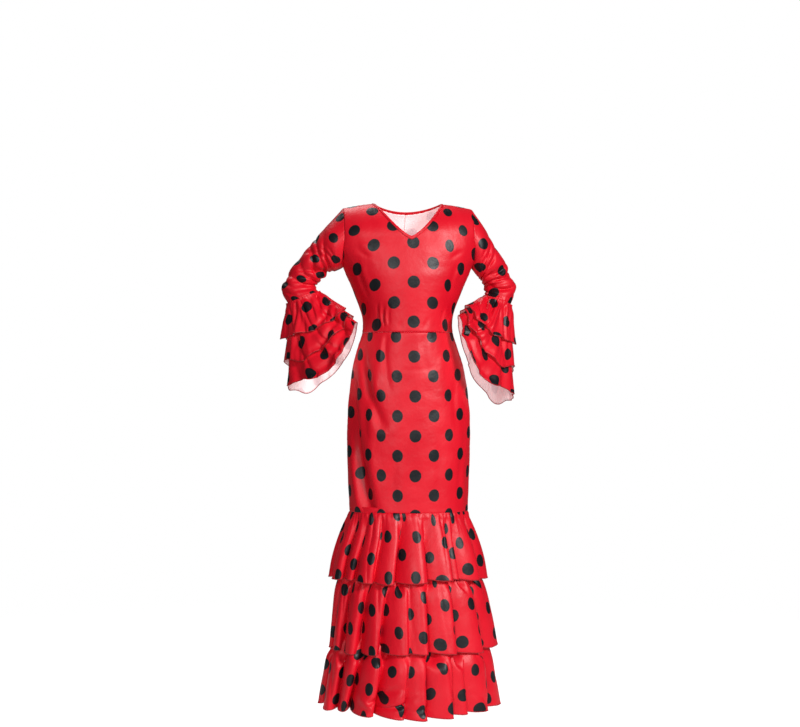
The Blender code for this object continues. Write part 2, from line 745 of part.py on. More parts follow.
def sleeve(name, arm, tab, side):
    phis, levels = np.meshgrid(ring_of_angles(ARM_COLUMNS), ARM_RINGS)

    def surface(phi, ring):
        return sleeve_point(arm, tab, side, phi, ring)

    outer = surface(phis, levels)
    measured = np.clip(levels, RING_STEP, SEAM_RING - RING_STEP)
    normals = normals_of(surface, phis, measured, TURN_STEP, RING_STEP, -side)
    normals[0, :, 0] = 0  # the first ring's wall lies flat against the armhole
    normals[-1] = seam_way_out(arm, phis[-1])
    normals = unit(normals)
    inner = outer - normals * WALL
    outer[0, :, 0] += side * ARMHOLE_GAP
    inner[0, :, 0] += side * ARMHOLE_GAP
    wall(name, outer, inner, closed=True)


def cuff_reach(layer, phi):
    """How far down the bell a cuff ruffle ends."""
    return CUFF_LAYERS["reach"][layer] + CUFF_LAYERS["at_hand"][layer] * ((1 + np.cos(phi)) / 2) ** 2


def bell_point(arm, cuff, phi, down):
    """The plain bell that the cuff ruffles follow, from the sleeve's seam to the lowest hem."""
    down = down[..., None]
    seam = arm_ring(arm, phi, np.full_like(phi, SEAM_RING))
    cos, sin = np.cos(phi)[..., None], np.sin(phi)[..., None]
    middle, hand, front, sag = (np.array(cuff[part], float) for part in ("middle", "hand", "front", "sag"))
    hem = middle + hand * cos + front * sin + sag * sin**2
    span = hem - seam
    first = arm_axis(arm) * np.linalg.norm(span, axis=-1, keepdims=True) * BELL_START
    last = span * BELL_END
    shape = seam * (2 * down**3 - 3 * down**2 + 1) + hem * (3 * down**2 - 2 * down**3)
    return shape + first * (down**3 - 2 * down**2 + down) + last * (down**3 - down**2) + arm_axis(arm) * SEAM


def arm_middle(arm):
    return np.array([by_index(arm, axis, SEAM_RING) for axis in "xyz"])


def arm_axis(arm):
    """The way a sleeve points at its end."""
    ends = arm_ring(arm, np.array([0, math.pi / 2]), np.array([SEAM_RING, SEAM_RING])) - arm_middle(arm)
    axis = unit(np.cross(ends[0], ends[1]))
    return axis if axis[2] < 0 else -axis


def seam_way_out(arm, phi):
    return unit(arm_ring(arm, phi, np.full_like(phi, SEAM_RING)) - arm_middle(arm))


def cuff_lift(layer, phi, down):
    """How far a cuff ruffle stands off the plain bell.  The outer layers never dip into the inner ones."""
    angle = np.degrees(phi)
    away_from_hand = (1 - np.cos(phi)) / 2
    part = np.clip(down / cuff_reach(layer, phi), 0, 1)
    own = CUFF_LAYERS["lift"][layer] + CUFF_LAYERS["outer_lift"][layer] * away_from_hand
    step = WALL + LAYER_STEP
    free = (2 - layer) * step + own * ease(part) - valleys(CUFF_VALLEYS, angle + CUFF_TURN[layer], part)
    if layer == 2:
        return free
    below = cuff_lift(layer + 1, phi, down) + step + CUFF_ROOM * ease(part * 3)
    return -least(-free, -below, CUFF_ROOM * ease(part * 2) + 0.01)


def cuff_point(arm, cuff, side, layer, phi, down):
    def bell(turn, length):
        return bell_point(arm, cuff, turn, length)

    normal = normals_of(bell, phi, down, TURN_STEP, DOWN_STEP, -side)
    near_seam = ease(1 - down / SEAM_SHARE)[..., None]
    normal = unit(normal * (1 - near_seam) + seam_way_out(arm, phi) * near_seam)
    return bell(phi, down) + normal * cuff_lift(layer, phi, down)[..., None]


def cuff_ruffles(name, arm, cuff, side):
    phi = ring_of_angles(CUFF_COLUMNS)
    ends = [cuff_reach(layer, phi) for layer in range(3)]
    rows = [np.zeros_like(phi), ends[0] * 0.3, ends[0] * 0.64, *ends]
    for layer in range(3):
        downs = np.array(rows[: 4 + layer])
        phis = np.broadcast_to(phi, downs.shape)

        def surface(turn, down, layer=layer):
            return cuff_point(arm, cuff, side, layer, turn, down)

        outer = surface(phis, downs)
        normals = normals_of(surface, phis, downs, TURN_STEP, DOWN_STEP, -side)
        normals[0] = seam_way_out(arm, phi)
        wall(f"{name}_ruffle_{layer + 1}", outer, outer - normals * WALL, closed=True)


# ---------------------------------------------------------------- the dress


def clear_scene():
    for old in list(bpy.data.objects):
        bpy.data.objects.remove(old, do_unlink=True)


def dress():
    clear_scene()
    bodice()
    skirt()
    neck_binding()
    back_placket()
    underskirt()
    skirt_ruffles()
    for name, arm, folds, cuff, side in (
        ("sleeve_right", RIGHT_ARM, RIGHT_CREASES, RIGHT_CUFF, -1),
        ("sleeve_left", LEFT_ARM, LEFT_CREASES, LEFT_CUFF, 1),
    ):
        sleeve(name, arm, folds, side)
        cuff_ruffles(name, arm, cuff, side)


dress()
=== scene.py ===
import functools
import math

import bpy
import numpy as np
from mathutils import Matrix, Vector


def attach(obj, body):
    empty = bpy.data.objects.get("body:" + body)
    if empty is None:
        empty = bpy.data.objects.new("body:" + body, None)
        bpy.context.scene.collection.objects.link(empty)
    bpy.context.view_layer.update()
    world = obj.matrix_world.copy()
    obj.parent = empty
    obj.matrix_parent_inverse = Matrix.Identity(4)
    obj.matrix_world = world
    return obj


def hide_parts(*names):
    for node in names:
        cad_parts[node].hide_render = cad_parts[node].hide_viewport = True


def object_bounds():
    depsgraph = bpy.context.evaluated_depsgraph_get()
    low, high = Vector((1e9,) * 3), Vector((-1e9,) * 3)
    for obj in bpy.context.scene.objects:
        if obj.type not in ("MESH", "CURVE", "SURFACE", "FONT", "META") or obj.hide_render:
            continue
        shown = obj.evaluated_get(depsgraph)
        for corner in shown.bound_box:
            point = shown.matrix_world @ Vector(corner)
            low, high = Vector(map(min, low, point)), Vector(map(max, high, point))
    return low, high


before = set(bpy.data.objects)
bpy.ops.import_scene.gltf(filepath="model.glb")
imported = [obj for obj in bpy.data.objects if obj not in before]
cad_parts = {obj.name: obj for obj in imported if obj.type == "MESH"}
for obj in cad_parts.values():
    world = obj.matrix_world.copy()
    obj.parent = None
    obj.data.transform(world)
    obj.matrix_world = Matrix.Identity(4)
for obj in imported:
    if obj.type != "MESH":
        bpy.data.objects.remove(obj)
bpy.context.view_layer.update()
print("frame loaded")

# Lengths are millimetres until a mesh is made.  A normal is measured over steps in turn (radians), in height,
# in rings of a sleeve or in shares of a cuff's length.
mm = 0.001
turnStep = 0.004
lengthStep = 0.4
downStep = 0.004
ringStep = 0.02
clothThickness = 0.7
quarter = math.pi / 2
sides = {"right": -1, "left": 1}
sectionNames = "rise halfWidth frontDepth backDepth squareness shift"
creaseNames = "across rise toAcross toRise width depth"
valleyNames = "angle depth width drift"
armCreaseNames = "ring reach angle spread depth slant"


def table(columns, *rows):
    return dict(zip(columns.split(), np.array(rows, float).T))


def rowsOf(tab):
    return [dict(zip(tab, values)) for values in zip(*tab.values())]


def records(columns, *rows):
    return [dict(zip(columns.split(), row)) for row in rows]


# The shape of the wearer's body under the cloth, the same sections as the solids have
body = dict(
    wall=1.6, seam=0.04, underarm=-131.0, waist=-264.0, skirtFoot=-629.0, shoulderStart=-70.0,
    shoulderRound=1.15, ridgeY=2.0, tipDrop=10.0, tipCurve=1.5, neckHalf=68.0, neckFront=69.5, neckBack=14.0,
    neckCurve=1.4, mitre=1.25, armholeHalf=43.0, bindingWidth=6.0, neckTuck=1.8,
)
bodySections = table(
    sectionNames,
    (-640, 121, 88, 92, 2.2, 2.5),
    (-570, 124, 88, 95, 2.2, 2.5),
    (-513, 126, 88, 98, 2.2, 2.5),
    (-469, 126.5, 88, 99, 2.2, 2.5),
    (-420, 124.5, 87, 97, 2.2, 2.5),
    (-361, 118, 86, 90, 2.15, 1.8),
    (-323, 111, 85, 82, 2.1, 0.8),
    (-290, 101, 84, 76, 2.1, 0),
    (-264, 93, 83, 73, 2.1, 0),
    (-232, 93, 83, 73, 2.1, 0),
    (-211, 99, 84, 74, 2.1, 0),
    (-193, 106, 85, 75, 2.1, 0),
    (-168, 116, 86, 77, 2.1, 0),
    (-146, 126, 86, 78, 2.1, 0),
    (-131, 132, 84, 78, 2.15, 0),
    (-116, 141, 82, 78, 2.2, 0),
    (-100, 147, 80, 77, 2.3, 0),
    (-70, 152, 74, 74, 2.4, 0),
)
# Long soft troughs of the skirt; a negative depth is a ridge
skirtFolds = table(
    "angle top foot drift depth spread",
    (-62, -300, -560, 26, 4.5, 9),
    (-76, -300, -560, 26, -2.5, 9),
    (-20, -470, -700, 4, 2, 14),
    (40, -300, -480, 10, 1.8, 11),
    (74, -420, -690, -6, 2.4, 10),
    (128, -330, -600, -12, 3.5, 10),
    (180, -430, -700, 3, 4, 14),
    (-130, -360, -640, 10, 3.5, 11),
)
# Creases across the cloth of the bodice and the skirt, from one point to another.  Across is the distance
# from the middle of the panel along the cloth, and a negative depth is a ridge.
frontCreases = table(
    creaseNames,
    (-71, -208, -66, -252, 2.2, 3.6),
    (-65, -208, -61, -254, 2.2, -2.4),
    (-58, -212, -56, -254, 2.2, 3.6),
    (-51, -216, -51, -252, 2.2, -2.2),
    (-46, -214, -47, -250, 2.2, 2.8),
    (-104, -120, -84, -178, 6, -1.6),
    (-114, -132, -92, -196, 5, 2.2),
    (100, -128, 84, -190, 6, 1.8),
    (112, -122, 96, -166, 5, -1.4),
    (34, -236, 26, -262, 4, 1.4),
    (-22, -240, -20, -262, 4, 1),
    (-112, -96, -84, -112, 5, 2),
    (-108, -84, -82, -92, 5, -1.2),
    (110, -100, 82, -116, 5, 1.8),
    (74, -214, 66, -256, 3.5, 1.8),
    (83, -210, 74, -256, 3.5, -1.4),
)
skirtCreases = table(
    creaseNames,
    (-52, -262, -44, -392, 5, 2.8),
    (-60, -266, -54, -360, 4, -1.8),
    (26, -265, 32, -350, 6, 1.5),
    (-139, -360, -77, -652, 18, 18),
    (-108, -306, -58, -462, 11, 9),
    (-138, -400, -104, -660, 11, -5),
    (-66, -300, -72, -640, 12, -3.5),
    (104, -330, 96, -470, 7, 2),
    (-40, -337, 60, -331, 3, 0.7),
    (14, -382, 84, -394, 5, 0.6),
    (58, -470, 66, -626, 9, 1.6),
    (-30, -500, -38, -628, 9, 1.6),
    (120, -480, 108, -628, 8, 2.2),
)
backCreases = table(
    creaseNames,
    (70, -150, 40, -236, 7, 2.4),
    (86, -180, 56, -258, 6, 2.6),
    (64, -190, 46, -250, 5, -1.6),
    (110, -112, 84, -150, 6, 2),
    (30, -214, 26, -262, 5, 1.8),
)
skirtBackCreases = table(
    creaseNames,
    (40, -266, 54, -400, 6, 2.6),
    (66, -270, 84, -430, 7, 2.4),
    (20, -280, 30, -380, 6, -1.4),
    (60, -470, 52, -626, 9, 2.4),
    (100, -430, 96, -600, 8, 2),
)
# The tube under the ruffles, and the three tiers
base = dict(top=-617.0, free=-650.0, foot=-886.0, rows=40, columns=160)
baseSections = table(
    sectionNames,
    (-640, 119, 85.5, 89.5, 2.15, 2.5),
    (-735, 130, 97, 103, 2, 1.5),
    (-886, 139, 107, 113, 2, 1),
)
tierSections = (
    table(
        sectionNames,
        (-629, 121.2, 88, 92.3, 2.2, 2.5),
        (-650, 131, 97, 101, 2.1, 2.2),
        (-680, 142, 108, 111, 2, 1.8),
        (-720, 153, 121, 123, 2, 1.2),
        (-768, 160.5, 131, 133, 2, 0.8),
    ),
    table(
        sectionNames,
        (-735, 132.2, 99.2, 105.2, 2, 1.5),
        (-775, 151, 124, 126, 2, 2),
        (-836, 163.5, 138, 140, 2, 3),
        (-912, 173, 149, 151, 2, 4),
    ),
    table(
        sectionNames,
        (-872, 140.4, 108.4, 114.4, 2, 1),
        (-914, 167, 143, 145, 2, 2.5),
        (-976, 180, 155, 157, 2, 2.5),
        (-1036, 188, 162, 164, 2, 2),
    ),
)
# Valleys between the folds, measured at the hem; a negative depth stands out
tierValleys = (
    table(
        valleyNames,
        (-64, 12, 5, 4),
        (-50, 13, 4.5, 5),
        (-31, 11, 5, 4),
        (-12.5, 16, 4.5, 2),
        (12.5, 16, 5, -3),
        (32, 14, 4, -4),
        (42, 13, 4, -6),
        (63, 12, 5, -5),
        (92, 13, 6, 3),
        (114, 13, 5.5, 5),
        (139, 15, 5.5, -2),
        (164, 12, 5.5, 3),
        (-170, 15, 5.5, -3),
        (-144, 12, 6, 4),
        (-117, 14, 5.5, 3),
        (-90, 11, 6, 3),
    ),
    table(
        valleyNames,
        (-62, 13, 5.5, 4),
        (-42, 17, 5, 5),
        (-23, 14, 5, 2),
        (-5, 6, 4.5, -2),
        (13.5, 17, 5, -2),
        (35, 15, 5, -4),
        (60, 14, 5, -6),
        (80, -3, 9, 0),
        (99, 12, 6, 3),
        (122, 15, 5.5, 4),
        (146, 13, 5.5, -3),
        (168, 16, 5.5, 2),
        (-168, 11, 5.5, -3),
        (-145, 15, 5.5, 4),
        (-121, 13, 5.5, 2),
        (-98, 15, 5.5, 4),
        (-80, 9, 5, 3),
    ),
    table(
        valleyNames,
        (-61, 13, 5, 4),
        (-46, 18, 4.5, 7),
        (-24, 15, 5, 4),
        (-6, 9, 4.5, 2),
        (12.5, 18, 5, -3),
        (30, 14, 4, -2),
        (42, 12, 4, -3),
        (61, 13, 5.5, 4),
        (84, 4, 6, -3),
        (106, 16, 5.5, 3),
        (129, 12, 6, -4),
        (153, 17, 5.5, 4),
        (177, 13, 5.5, 2),
        (-159, 16, 5.5, -3),
        (-133, 12, 6, 4),
        (-108, 16, 5.5, 2),
        (-84, 11, 6, 4),
    ),
)
# Sections of the sleeves from the armhole to the cuff seam
armSections = {
    "right": table(
        "ring x y z innerX innerZ depth",
        (0, -134.4, 0, -70, 1, -60.5, 44),
        (1, -153, 3, -88, 6, -50, 44),
        (2, -167, 7, -101, 14, -38.5, 39),
        (3, -180, 12, -114.5, 20, -29, 36),
        (4, -198, 20, -134.5, 25, -22.5, 35),
        (5, -214, 26, -153.5, 31.5, -10.5, 35.5),
        (6, -221.5, 27, -173, 37, 0.5, 37),
        (7, -213.5, 18, -191, 31.5, 12, 33),
    ),
    "left": table(
        "ring x y z innerX innerZ depth",
        (0, 134.4, 0, -70, -1, -60.5, 44),
        (1, 149, 3, -92, -6, -52, 44),
        (2, 160, 7, -110, -11.5, -42, 39),
        (3, 171, 12, -126.5, -18, -31.5, 36),
        (4, 183, 20, -140.5, -23.5, -23, 35),
        (5, 191, 26, -154.5, -29.5, -12.5, 35),
        (6, 196, 27, -172, -34.5, -3.5, 35),
        (7, 190.5, 18, -196, -26, 9.5, 31),
    ),
}
seamRing = 7.0
# Ring and reach count the sections, angle runs from the inner side of the arm over its front
armCreases = {
    "right": table(
        armCreaseNames,
        (2.6, 0.35, 20, 50, 3, 0.5),
        (3.7, 0.35, 60, 60, 3, 0.6),
        (4.8, 0.30, 110, 60, 3.2, 0.4),
        (5.7, 0.30, 70, 75, 3.5, 0.1),
        (5, 0.35, 250, 60, 3, -0.3),
        (3.4, 0.40, 290, 60, 3, -0.4),
    ),
    "left": table(
        armCreaseNames,
        (2.8, 0.35, 40, 55, 3, 0.5),
        (4, 0.35, 80, 60, 3.2, 0.4),
        (5.4, 0.30, 60, 80, 4, 0.1),
        (5, 0.35, 150, 55, 3, 0.3),
        (4.7, 0.35, 250, 60, 3, -0.3),
        (3.2, 0.40, 300, 60, 3, -0.4),
    ),
}
cuffHems = {
    "right": dict(
        middle=(-179, -30, -307), hand=(72, -18, 66), front=(-8, -70, 14), sag=(14, 0, -41), outer=1.1,
    ),
    "left": dict(
        middle=(160, -36, -309), hand=(-63, -24, 83), front=(-4, -66, 19), sag=(-14, 0, -51), outer=0.45,
    ),
}
cuffLayers = table(
    "reach atHand lift outerLift",
    (0.49, 0.20, 3.5, 10),
    (0.74, 0.10, 3, 3),
    (1.00, 0.00, 0, 0),
)
cuffValleys = table(
    valleyNames,
    (18, 6, 12, 4),
    (62, 9, 11, -6),
    (104, 7, 12, 6),
    (147, 9, 12, -5),
    (190, 6, 13, 4),
    (232, 9, 11, -4),
    (275, 7, 12, 6),
    (318, 8, 12, -4),
)


# A smooth curve from start to end that leaves and arrives with the given slopes
def hermite(t, start, end, leaving, arriving):
    places = (2 * t**3 - 3 * t**2 + 1) * start + (3 * t**2 - 2 * t**3) * end
    return places + (t**3 - 2 * t**2 + t) * leaving + (t**3 - t**2) * arriving


# A smooth curve through one column of a table, over its first column
def read(tab, column, at):
    key = next(iter(tab.values()))
    order = np.argsort(key)
    key = key[order]
    value = tab[column][order]
    slope = np.gradient(value, key)
    at = np.clip(at, key[0], key[-1])
    i = np.clip(np.searchsorted(key, at) - 1, 0, len(key) - 2)
    gap = key[i + 1] - key[i]
    return hermite((at - key[i]) / gap, value[i], value[i + 1], slope[i] * gap, slope[i + 1] * gap)


def ease(t):
    t = np.clip(t, 0, 1)
    return t * t * (3 - 2 * t)


def bump(off, width=1.0):
    return np.exp(-((off / width) ** 2))


def signedPower(value, power):
    return np.sign(value) * np.abs(value) ** power


def turnBetween(a, b):
    return (a - b + 180) % 360 - 180


def least(a, b, softness):
    mixed = np.clip(0.5 + 0.5 * (b - a) / softness, 0, 1)
    return b + (a - b) * mixed - softness * mixed * (1 - mixed)


def stack(x, y, z):
    return np.stack(np.broadcast_arrays(x, y, z), axis=-1)


def unit(vectors):
    return vectors / np.maximum(np.linalg.norm(vectors, axis=-1, keepdims=True), 1e-12)


def normalsOf(surface, u, v, du, dv, facing):
    alongU = surface(u + du, v) - surface(u - du, v)
    alongV = surface(u, v + dv) - surface(u, v - dv)
    return facing * unit(np.cross(alongU, alongV))


# Length along the cloth from the first row of points, or from the first column
def lengthFrom(points, axis=0):
    steps = np.linalg.norm(np.diff(points, axis=axis), axis=-1)
    return np.concatenate([np.zeros_like(steps.take([0], axis)), np.cumsum(steps, axis=axis)], axis=axis)


# How far each point of a grid is from the grid's four edges, along the cloth
def edgeDistances(points):
    down = lengthFrom(points)
    across = lengthFrom(points, 1)
    return {"first": down, "last": down[-1:] - down, "left": across, "right": across[:, -1:] - across}


# Stations from 0 to 1 that lie closer together at both ends
def stations(count, crowding):
    t = np.linspace(0, 1, count)
    return t - crowding * np.sin(2 * math.pi * t) / (2 * math.pi)


def ringOfAngles(columns):
    return np.arange(columns) * 2 * math.pi / columns


# Rounded ridges with sharp lines between them, unevenly spaced round a full turn
def pleated(angle, count, seed, uneven=1.6):
    rng = np.random.default_rng(seed)
    a = np.radians(angle)
    turn = count * a + rng.uniform(0, 6)
    for wave in (2, 3, 5, 7, 11):
        turn = turn + uneven * rng.uniform(0.4, 1.0) * np.sin(wave * a + rng.uniform(0, 2 * math.pi))
    return np.abs(np.sin(turn / 2))


# A strength that changes slowly round a full turn
def slowly(angle, seed, low, high):
    rng = np.random.default_rng(seed)
    a = np.radians(angle)
    out = 0
    for wave in (1, 2, 3, 5):
        out = out + rng.uniform(0.5, 1.0) * np.sin(wave * a + rng.uniform(0, 2 * math.pi))
    return low + (high - low) * (0.5 + 0.5 * np.clip(out / 1.8, -1, 1))


# Soft unevenness of worn cloth
def softWaves(across, rise, seed, size):
    rng = np.random.default_rng(seed)
    out = 0
    for _ in range(7):
        way = rng.uniform(0, math.pi)
        length = rng.uniform(34, 80)
        along = across * math.cos(way) + rise * math.sin(way)
        out = out + np.sin(along * 2 * math.pi / length + rng.uniform(0, 6))
    return size * out / 3


creaseLook = dict(bend=0.06, start=0.06, share=0.92, fullness=0.8)


# How far straight creases push the cloth in, at a place across and up a panel
def creased(tab, across, rise):
    out = 0.0
    for c in rowsOf(tab):
        wayX = c["toAcross"] - c["across"]
        wayZ = c["toRise"] - c["rise"]
        length = math.hypot(wayX, wayZ)
        along = ((across - c["across"]) * wayX + (rise - c["rise"]) * wayZ) / length**2
        off = ((across - c["across"]) * wayZ - (rise - c["rise"]) * wayX) / length
        bend = creaseLook["bend"] * length * np.sin(math.pi * np.clip(along, 0, 1))
        reached = np.clip(along * creaseLook["share"] + creaseLook["start"], 0, 1)
        strength = np.sin(math.pi * reached) ** creaseLook["fullness"]
        out = out - c["depth"] * strength * bump(off - bend, c["width"])
    return out


def skirtRelief(theta, rise):
    angle = 90 - np.degrees(theta)
    out = 0.0
    for fold in rowsOf(skirtFolds):
        down = (fold["top"] - rise) / (fold["top"] - fold["foot"])
        off = turnBetween(angle, fold["angle"] + fold["drift"] * down)
        out = out - fold["depth"] * np.sin(np.pi * np.clip(down, 0, 1)) ** 2 * bump(off, fold["spread"])
    return out


def sectionPoint(sections, theta, height, swell):
    front = read(sections, "frontDepth", height)
    back = read(sections, "backDepth", height)
    depth = np.where(np.sin(theta) > 0, front, back) + swell
    power = 2 / read(sections, "squareness", height)
    x = (read(sections, "halfWidth", height) + swell) * signedPower(np.cos(theta), power)
    return stack(x + read(sections, "shift", height), -depth * signedPower(np.sin(theta), power), height)


def armholeTheta(rise, front):
    start = body["shoulderStart"]
    level = np.minimum(rise, start)
    below = np.clip((start - level) / (start - body["underarm"]), 0, 1)
    edge = body["armholeHalf"] * np.sqrt(1 - below**2)
    depth = read(bodySections, "frontDepth" if front else "backDepth", level)
    return np.arcsin((edge / depth) ** (read(bodySections, "squareness", level) / 2))


def armholeX(rise, front=True):
    level = np.minimum(rise, body["shoulderStart"])
    power = 2 / read(bodySections, "squareness", level)
    return read(bodySections, "halfWidth", level) * np.cos(armholeTheta(rise, front)) ** power


# Theta is 0 at the wearer's left side and a quarter turn at the centre front.  Above the shoulders' start the
# rise counts the turn up to the shoulder seam.
def bodyPoint(theta, rise):
    start = body["shoulderStart"]
    level = np.minimum(rise, start)
    plain = sectionPoint(bodySections, theta, level, skirtRelief(theta, rise))
    x = plain[..., 0]
    turn = np.clip((rise - start) / -start, 0, 1) * quarter
    beyondNeck = np.clip((np.abs(x) - body["neckHalf"]) / (armholeX(0.0) - body["neckHalf"]), 0, 2)
    ridge = -body["tipDrop"] * beyondNeck ** body["tipCurve"]
    y = body["ridgeY"] + (plain[..., 1] - body["ridgeY"]) * np.cos(turn) ** body["shoulderRound"]
    z = level + (ridge - start) * np.sin(turn) ** body["shoulderRound"]
    return stack(x, y, z)


def bodyNormals(theta, rise):
    return normalsOf(bodyPoint, theta, rise, turnStep, lengthStep, -1)


# Rise of the neckline's edge, a margin outside it
def neckRise(x, front, margin):
    start = body["shoulderStart"]
    if front:
        depth = body["neckFront"] + body["mitre"] * margin
        curve = body["neckCurve"]
    else:
        depth = body["neckBack"] + margin
        curve = 2.0
    height = -depth * (1 - np.clip(np.abs(x) / (body["neckHalf"] + margin), 0, 1) ** curve)
    above = np.clip(1 + height / -start, 0, 1) ** (1 / body["shoulderRound"])
    return np.where(height < start, height, start * (1 - np.arcsin(above) / quarter))


def thetaAt(x, rise, front, side):
    level = np.minimum(rise, body["shoulderStart"])
    share = np.clip(x / read(bodySections, "halfWidth", level), 0, 1)
    fromMiddle = np.arcsin(share ** (read(bodySections, "squareness", level) / 2))
    return quarter - side * fromMiddle if front else side * fromMiddle - quarter


panelMesh = dict(half=44, lowRows=34, yokeRows=40, skirtRows=92, neckShare=0.5)


# One half of a bodice panel, columns from the middle to the side
def halfGrid(front, side):
    share = np.linspace(0, 1, panelMesh["half"] + 1)
    neckShare = panelMesh["neckShare"]
    tip = armholeX(0.0, front)
    margin = body["bindingWidth"] - body["neckTuck"]
    neck = body["neckHalf"] + margin
    alongSeam = (share - neckShare) / (1 - neckShare)
    topX = np.where(share <= neckShare, neck * share / neckShare, neck + (tip - neck) * alongSeam)
    topRise = np.where(share < neckShare, neckRise(topX, front, margin), 0.0)
    thetas = []
    rises = []
    waist = body["waist"] + body["seam"] / 2
    fromMiddle = side * share * quarter
    for rise in waist + (body["underarm"] - waist) * stations(panelMesh["lowRows"], 0.3):
        thetas.append(quarter - fromMiddle if front else fromMiddle - quarter)
        rises.append(np.full_like(share, rise))
    lowPart = np.sin(share * quarter) ** (2 / read(bodySections, "squareness", body["underarm"]))
    for up in np.linspace(0, 1, panelMesh["yokeRows"] + 1)[1:]:
        rise = body["underarm"] + (topRise - body["underarm"]) * up
        x = armholeX(rise, front) * (lowPart + (topX / tip - lowPart) * ease(up))
        thetas.append(thetaAt(x, rise, front, side))
        rises.append(rise)
    return np.array(thetas), np.array(rises)


# The front stays in front of the side and shoulder seams, and each half of the back on its own side
def keepSeams(points, side):
    half = body["seam"] / 2
    x, y, z = np.moveaxis(points, -1, 0)
    above = (z - body["underarm"]) / -body["underarm"]
    middle = body["ridgeY"] * ease(above)
    y[...] = np.maximum(y, middle + half) if side else np.minimum(y, middle - half)
    if side:
        x[...] = np.where(np.abs(x) < half, side * half, x)


# Where a point of the body lies on the flat cloth: across from the panel's middle, and up
def flatBody(theta, rise, front):
    start = body["shoulderStart"]
    levels = np.linspace(-640, start, 120)
    middle = quarter if front else -quarter
    turns = np.linspace(-1, 1, 241) * quarter
    grid = sectionPoint(bodySections, middle + turns[None, :], levels[:, None], 0)
    lengths = lengthFrom(grid[..., :2], 1)
    lengths -= lengths[:, [len(turns) // 2]]
    level = np.minimum(rise, start)
    row = (level - levels[0]) / (levels[1] - levels[0])
    column = (theta - middle - turns[0]) / (turns[1] - turns[0])
    i = np.clip(row.astype(int), 0, len(levels) - 2)
    j = np.clip(column.astype(int), 0, len(turns) - 2)
    t = np.clip(column - j, 0, 1)
    low = lengths[i, j] * (1 - t) + lengths[i, j + 1] * t
    high = lengths[i + 1, j] * (1 - t) + lengths[i + 1, j + 1] * t
    across = low + (high - low) * (row - i)
    depth = np.abs(sectionPoint(bodySections, theta, level, 0)[..., 1])
    overShoulder = quarter * np.sqrt((depth**2 + start**2) / 2)
    return (-across if front else across), level + np.clip((rise - start) / -start, 0, 1) * overShoulder


seamLook = dict(roll=0.55, rollWidth=1.4, pucker=0.5, puckerLength=11.0, puckerReach=9.0)


# The cloth turns in at a sewn edge and puckers a little beside it
def sewnEdges(points, seed):
    far = edgeDistances(points)
    out = np.zeros(points.shape[:2])
    rng = np.random.default_rng(seed)
    for edge, away in far.items():
        along = far["left" if edge in ("first", "last") else "first"]
        phase = 2 * math.pi * along / seamLook["puckerLength"] + rng.uniform(0, 6)
        phase = phase + 1.7 * np.sin(along / 17 + rng.uniform(0, 6))
        phase = phase + 1.1 * np.sin(along / 9 + rng.uniform(0, 6))
        strength = 0.55 + 0.45 * np.sin(along / 31 + rng.uniform(0, 6))
        fade = np.exp(-away / seamLook["puckerReach"])
        out += seamLook["pucker"] * strength * fade * (np.sin(phase) - 0.4)
        out -= seamLook["roll"] * bump(away, seamLook["rollWidth"])
    return out


pullUnit = (60.0, 80.0)


# Place of a strip's point on the flat cloth.  A strip with a radius is cut as part of a ring.
def cutPoint(across, down, cut, middle=0.0, pulled=0.0):
    radius = cut.get("radius")
    sideways = 0.0
    lengthways = 0.0
    for i, j, x, y in cut.get("pulls", ()):
        shape = (across / pullUnit[0]) ** i * (down / pullUnit[1]) ** j
        sideways = sideways + x * shape
        lengthways = lengthways + y * shape
    across = across * cut.get("fullness", 1.0) + pulled + sideways
    down = down * cut.get("length", 1.0) + lengthways
    if radius:
        turn = across / (radius + middle)
        x = (radius + down) * np.sin(turn)
        y = radius - (radius + down) * np.cos(turn)
    else:
        x, y = np.broadcast_arrays(across, -down)
    grain = math.radians(cut.get("grain", 0.0))
    turnedX = x * math.cos(grain) - y * math.sin(grain) + cut["printX"]
    turnedY = x * math.sin(grain) + y * math.cos(grain) + cut["printY"]
    return np.stack([turnedX, turnedY], axis=-1)


def linear(code):
    parts = [int(code[i : i + 2], 16) / 255 for i in (1, 3, 5)]
    return (*(p / 12.92 if p <= 0.04045 else ((p + 0.055) / 1.055) ** 2.4 for p in parts), 1.0)


# Gives a node its values and links.  A node given as a value stands for its first output.
def setInputs(tree, node, inputs):
    for name, value in inputs.items():
        if isinstance(value, bpy.types.Node):
            value = value.outputs[0]
        if isinstance(value, bpy.types.NodeSocket):
            tree.links.new(value, node.inputs[name])
        else:
            node.inputs[name].default_value = value


def addNode(tree, kind, settings=None, inputs=None):
    node = tree.nodes.new(kind)
    for name, value in (settings or {}).items():
        setattr(node, name, value)
    setInputs(tree, node, inputs or {})
    return node


def addObject(name, data):
    made = bpy.data.objects.new(name, data)
    bpy.context.scene.collection.objects.link(made)
    return made


# Sizes of the print in millimetres.  The reverse's dots are smaller and blurred.
printLook = dict(cell=80.0, dot=12.6, edge=0.5, wobble=0.35, wobbleSize=6.0, reverseDot=12.2, reverseEdge=1.6)


# A colour between two that follows a noise of this size, and the noise
def mottled(tree, place, size, detail, low, high, dimensions="2D"):
    noise = addNode(
        tree, "ShaderNodeTexNoise", {"noise_dimensions": dimensions},
        {"Vector": place, "Scale": 1000 / size, "Detail": detail},
    )
    inputs = {"Factor": noise, 6: linear(low), 7: linear(high)}
    return addNode(tree, "ShaderNodeMix", {"data_type": "RGBA"}, inputs).outputs[2], noise


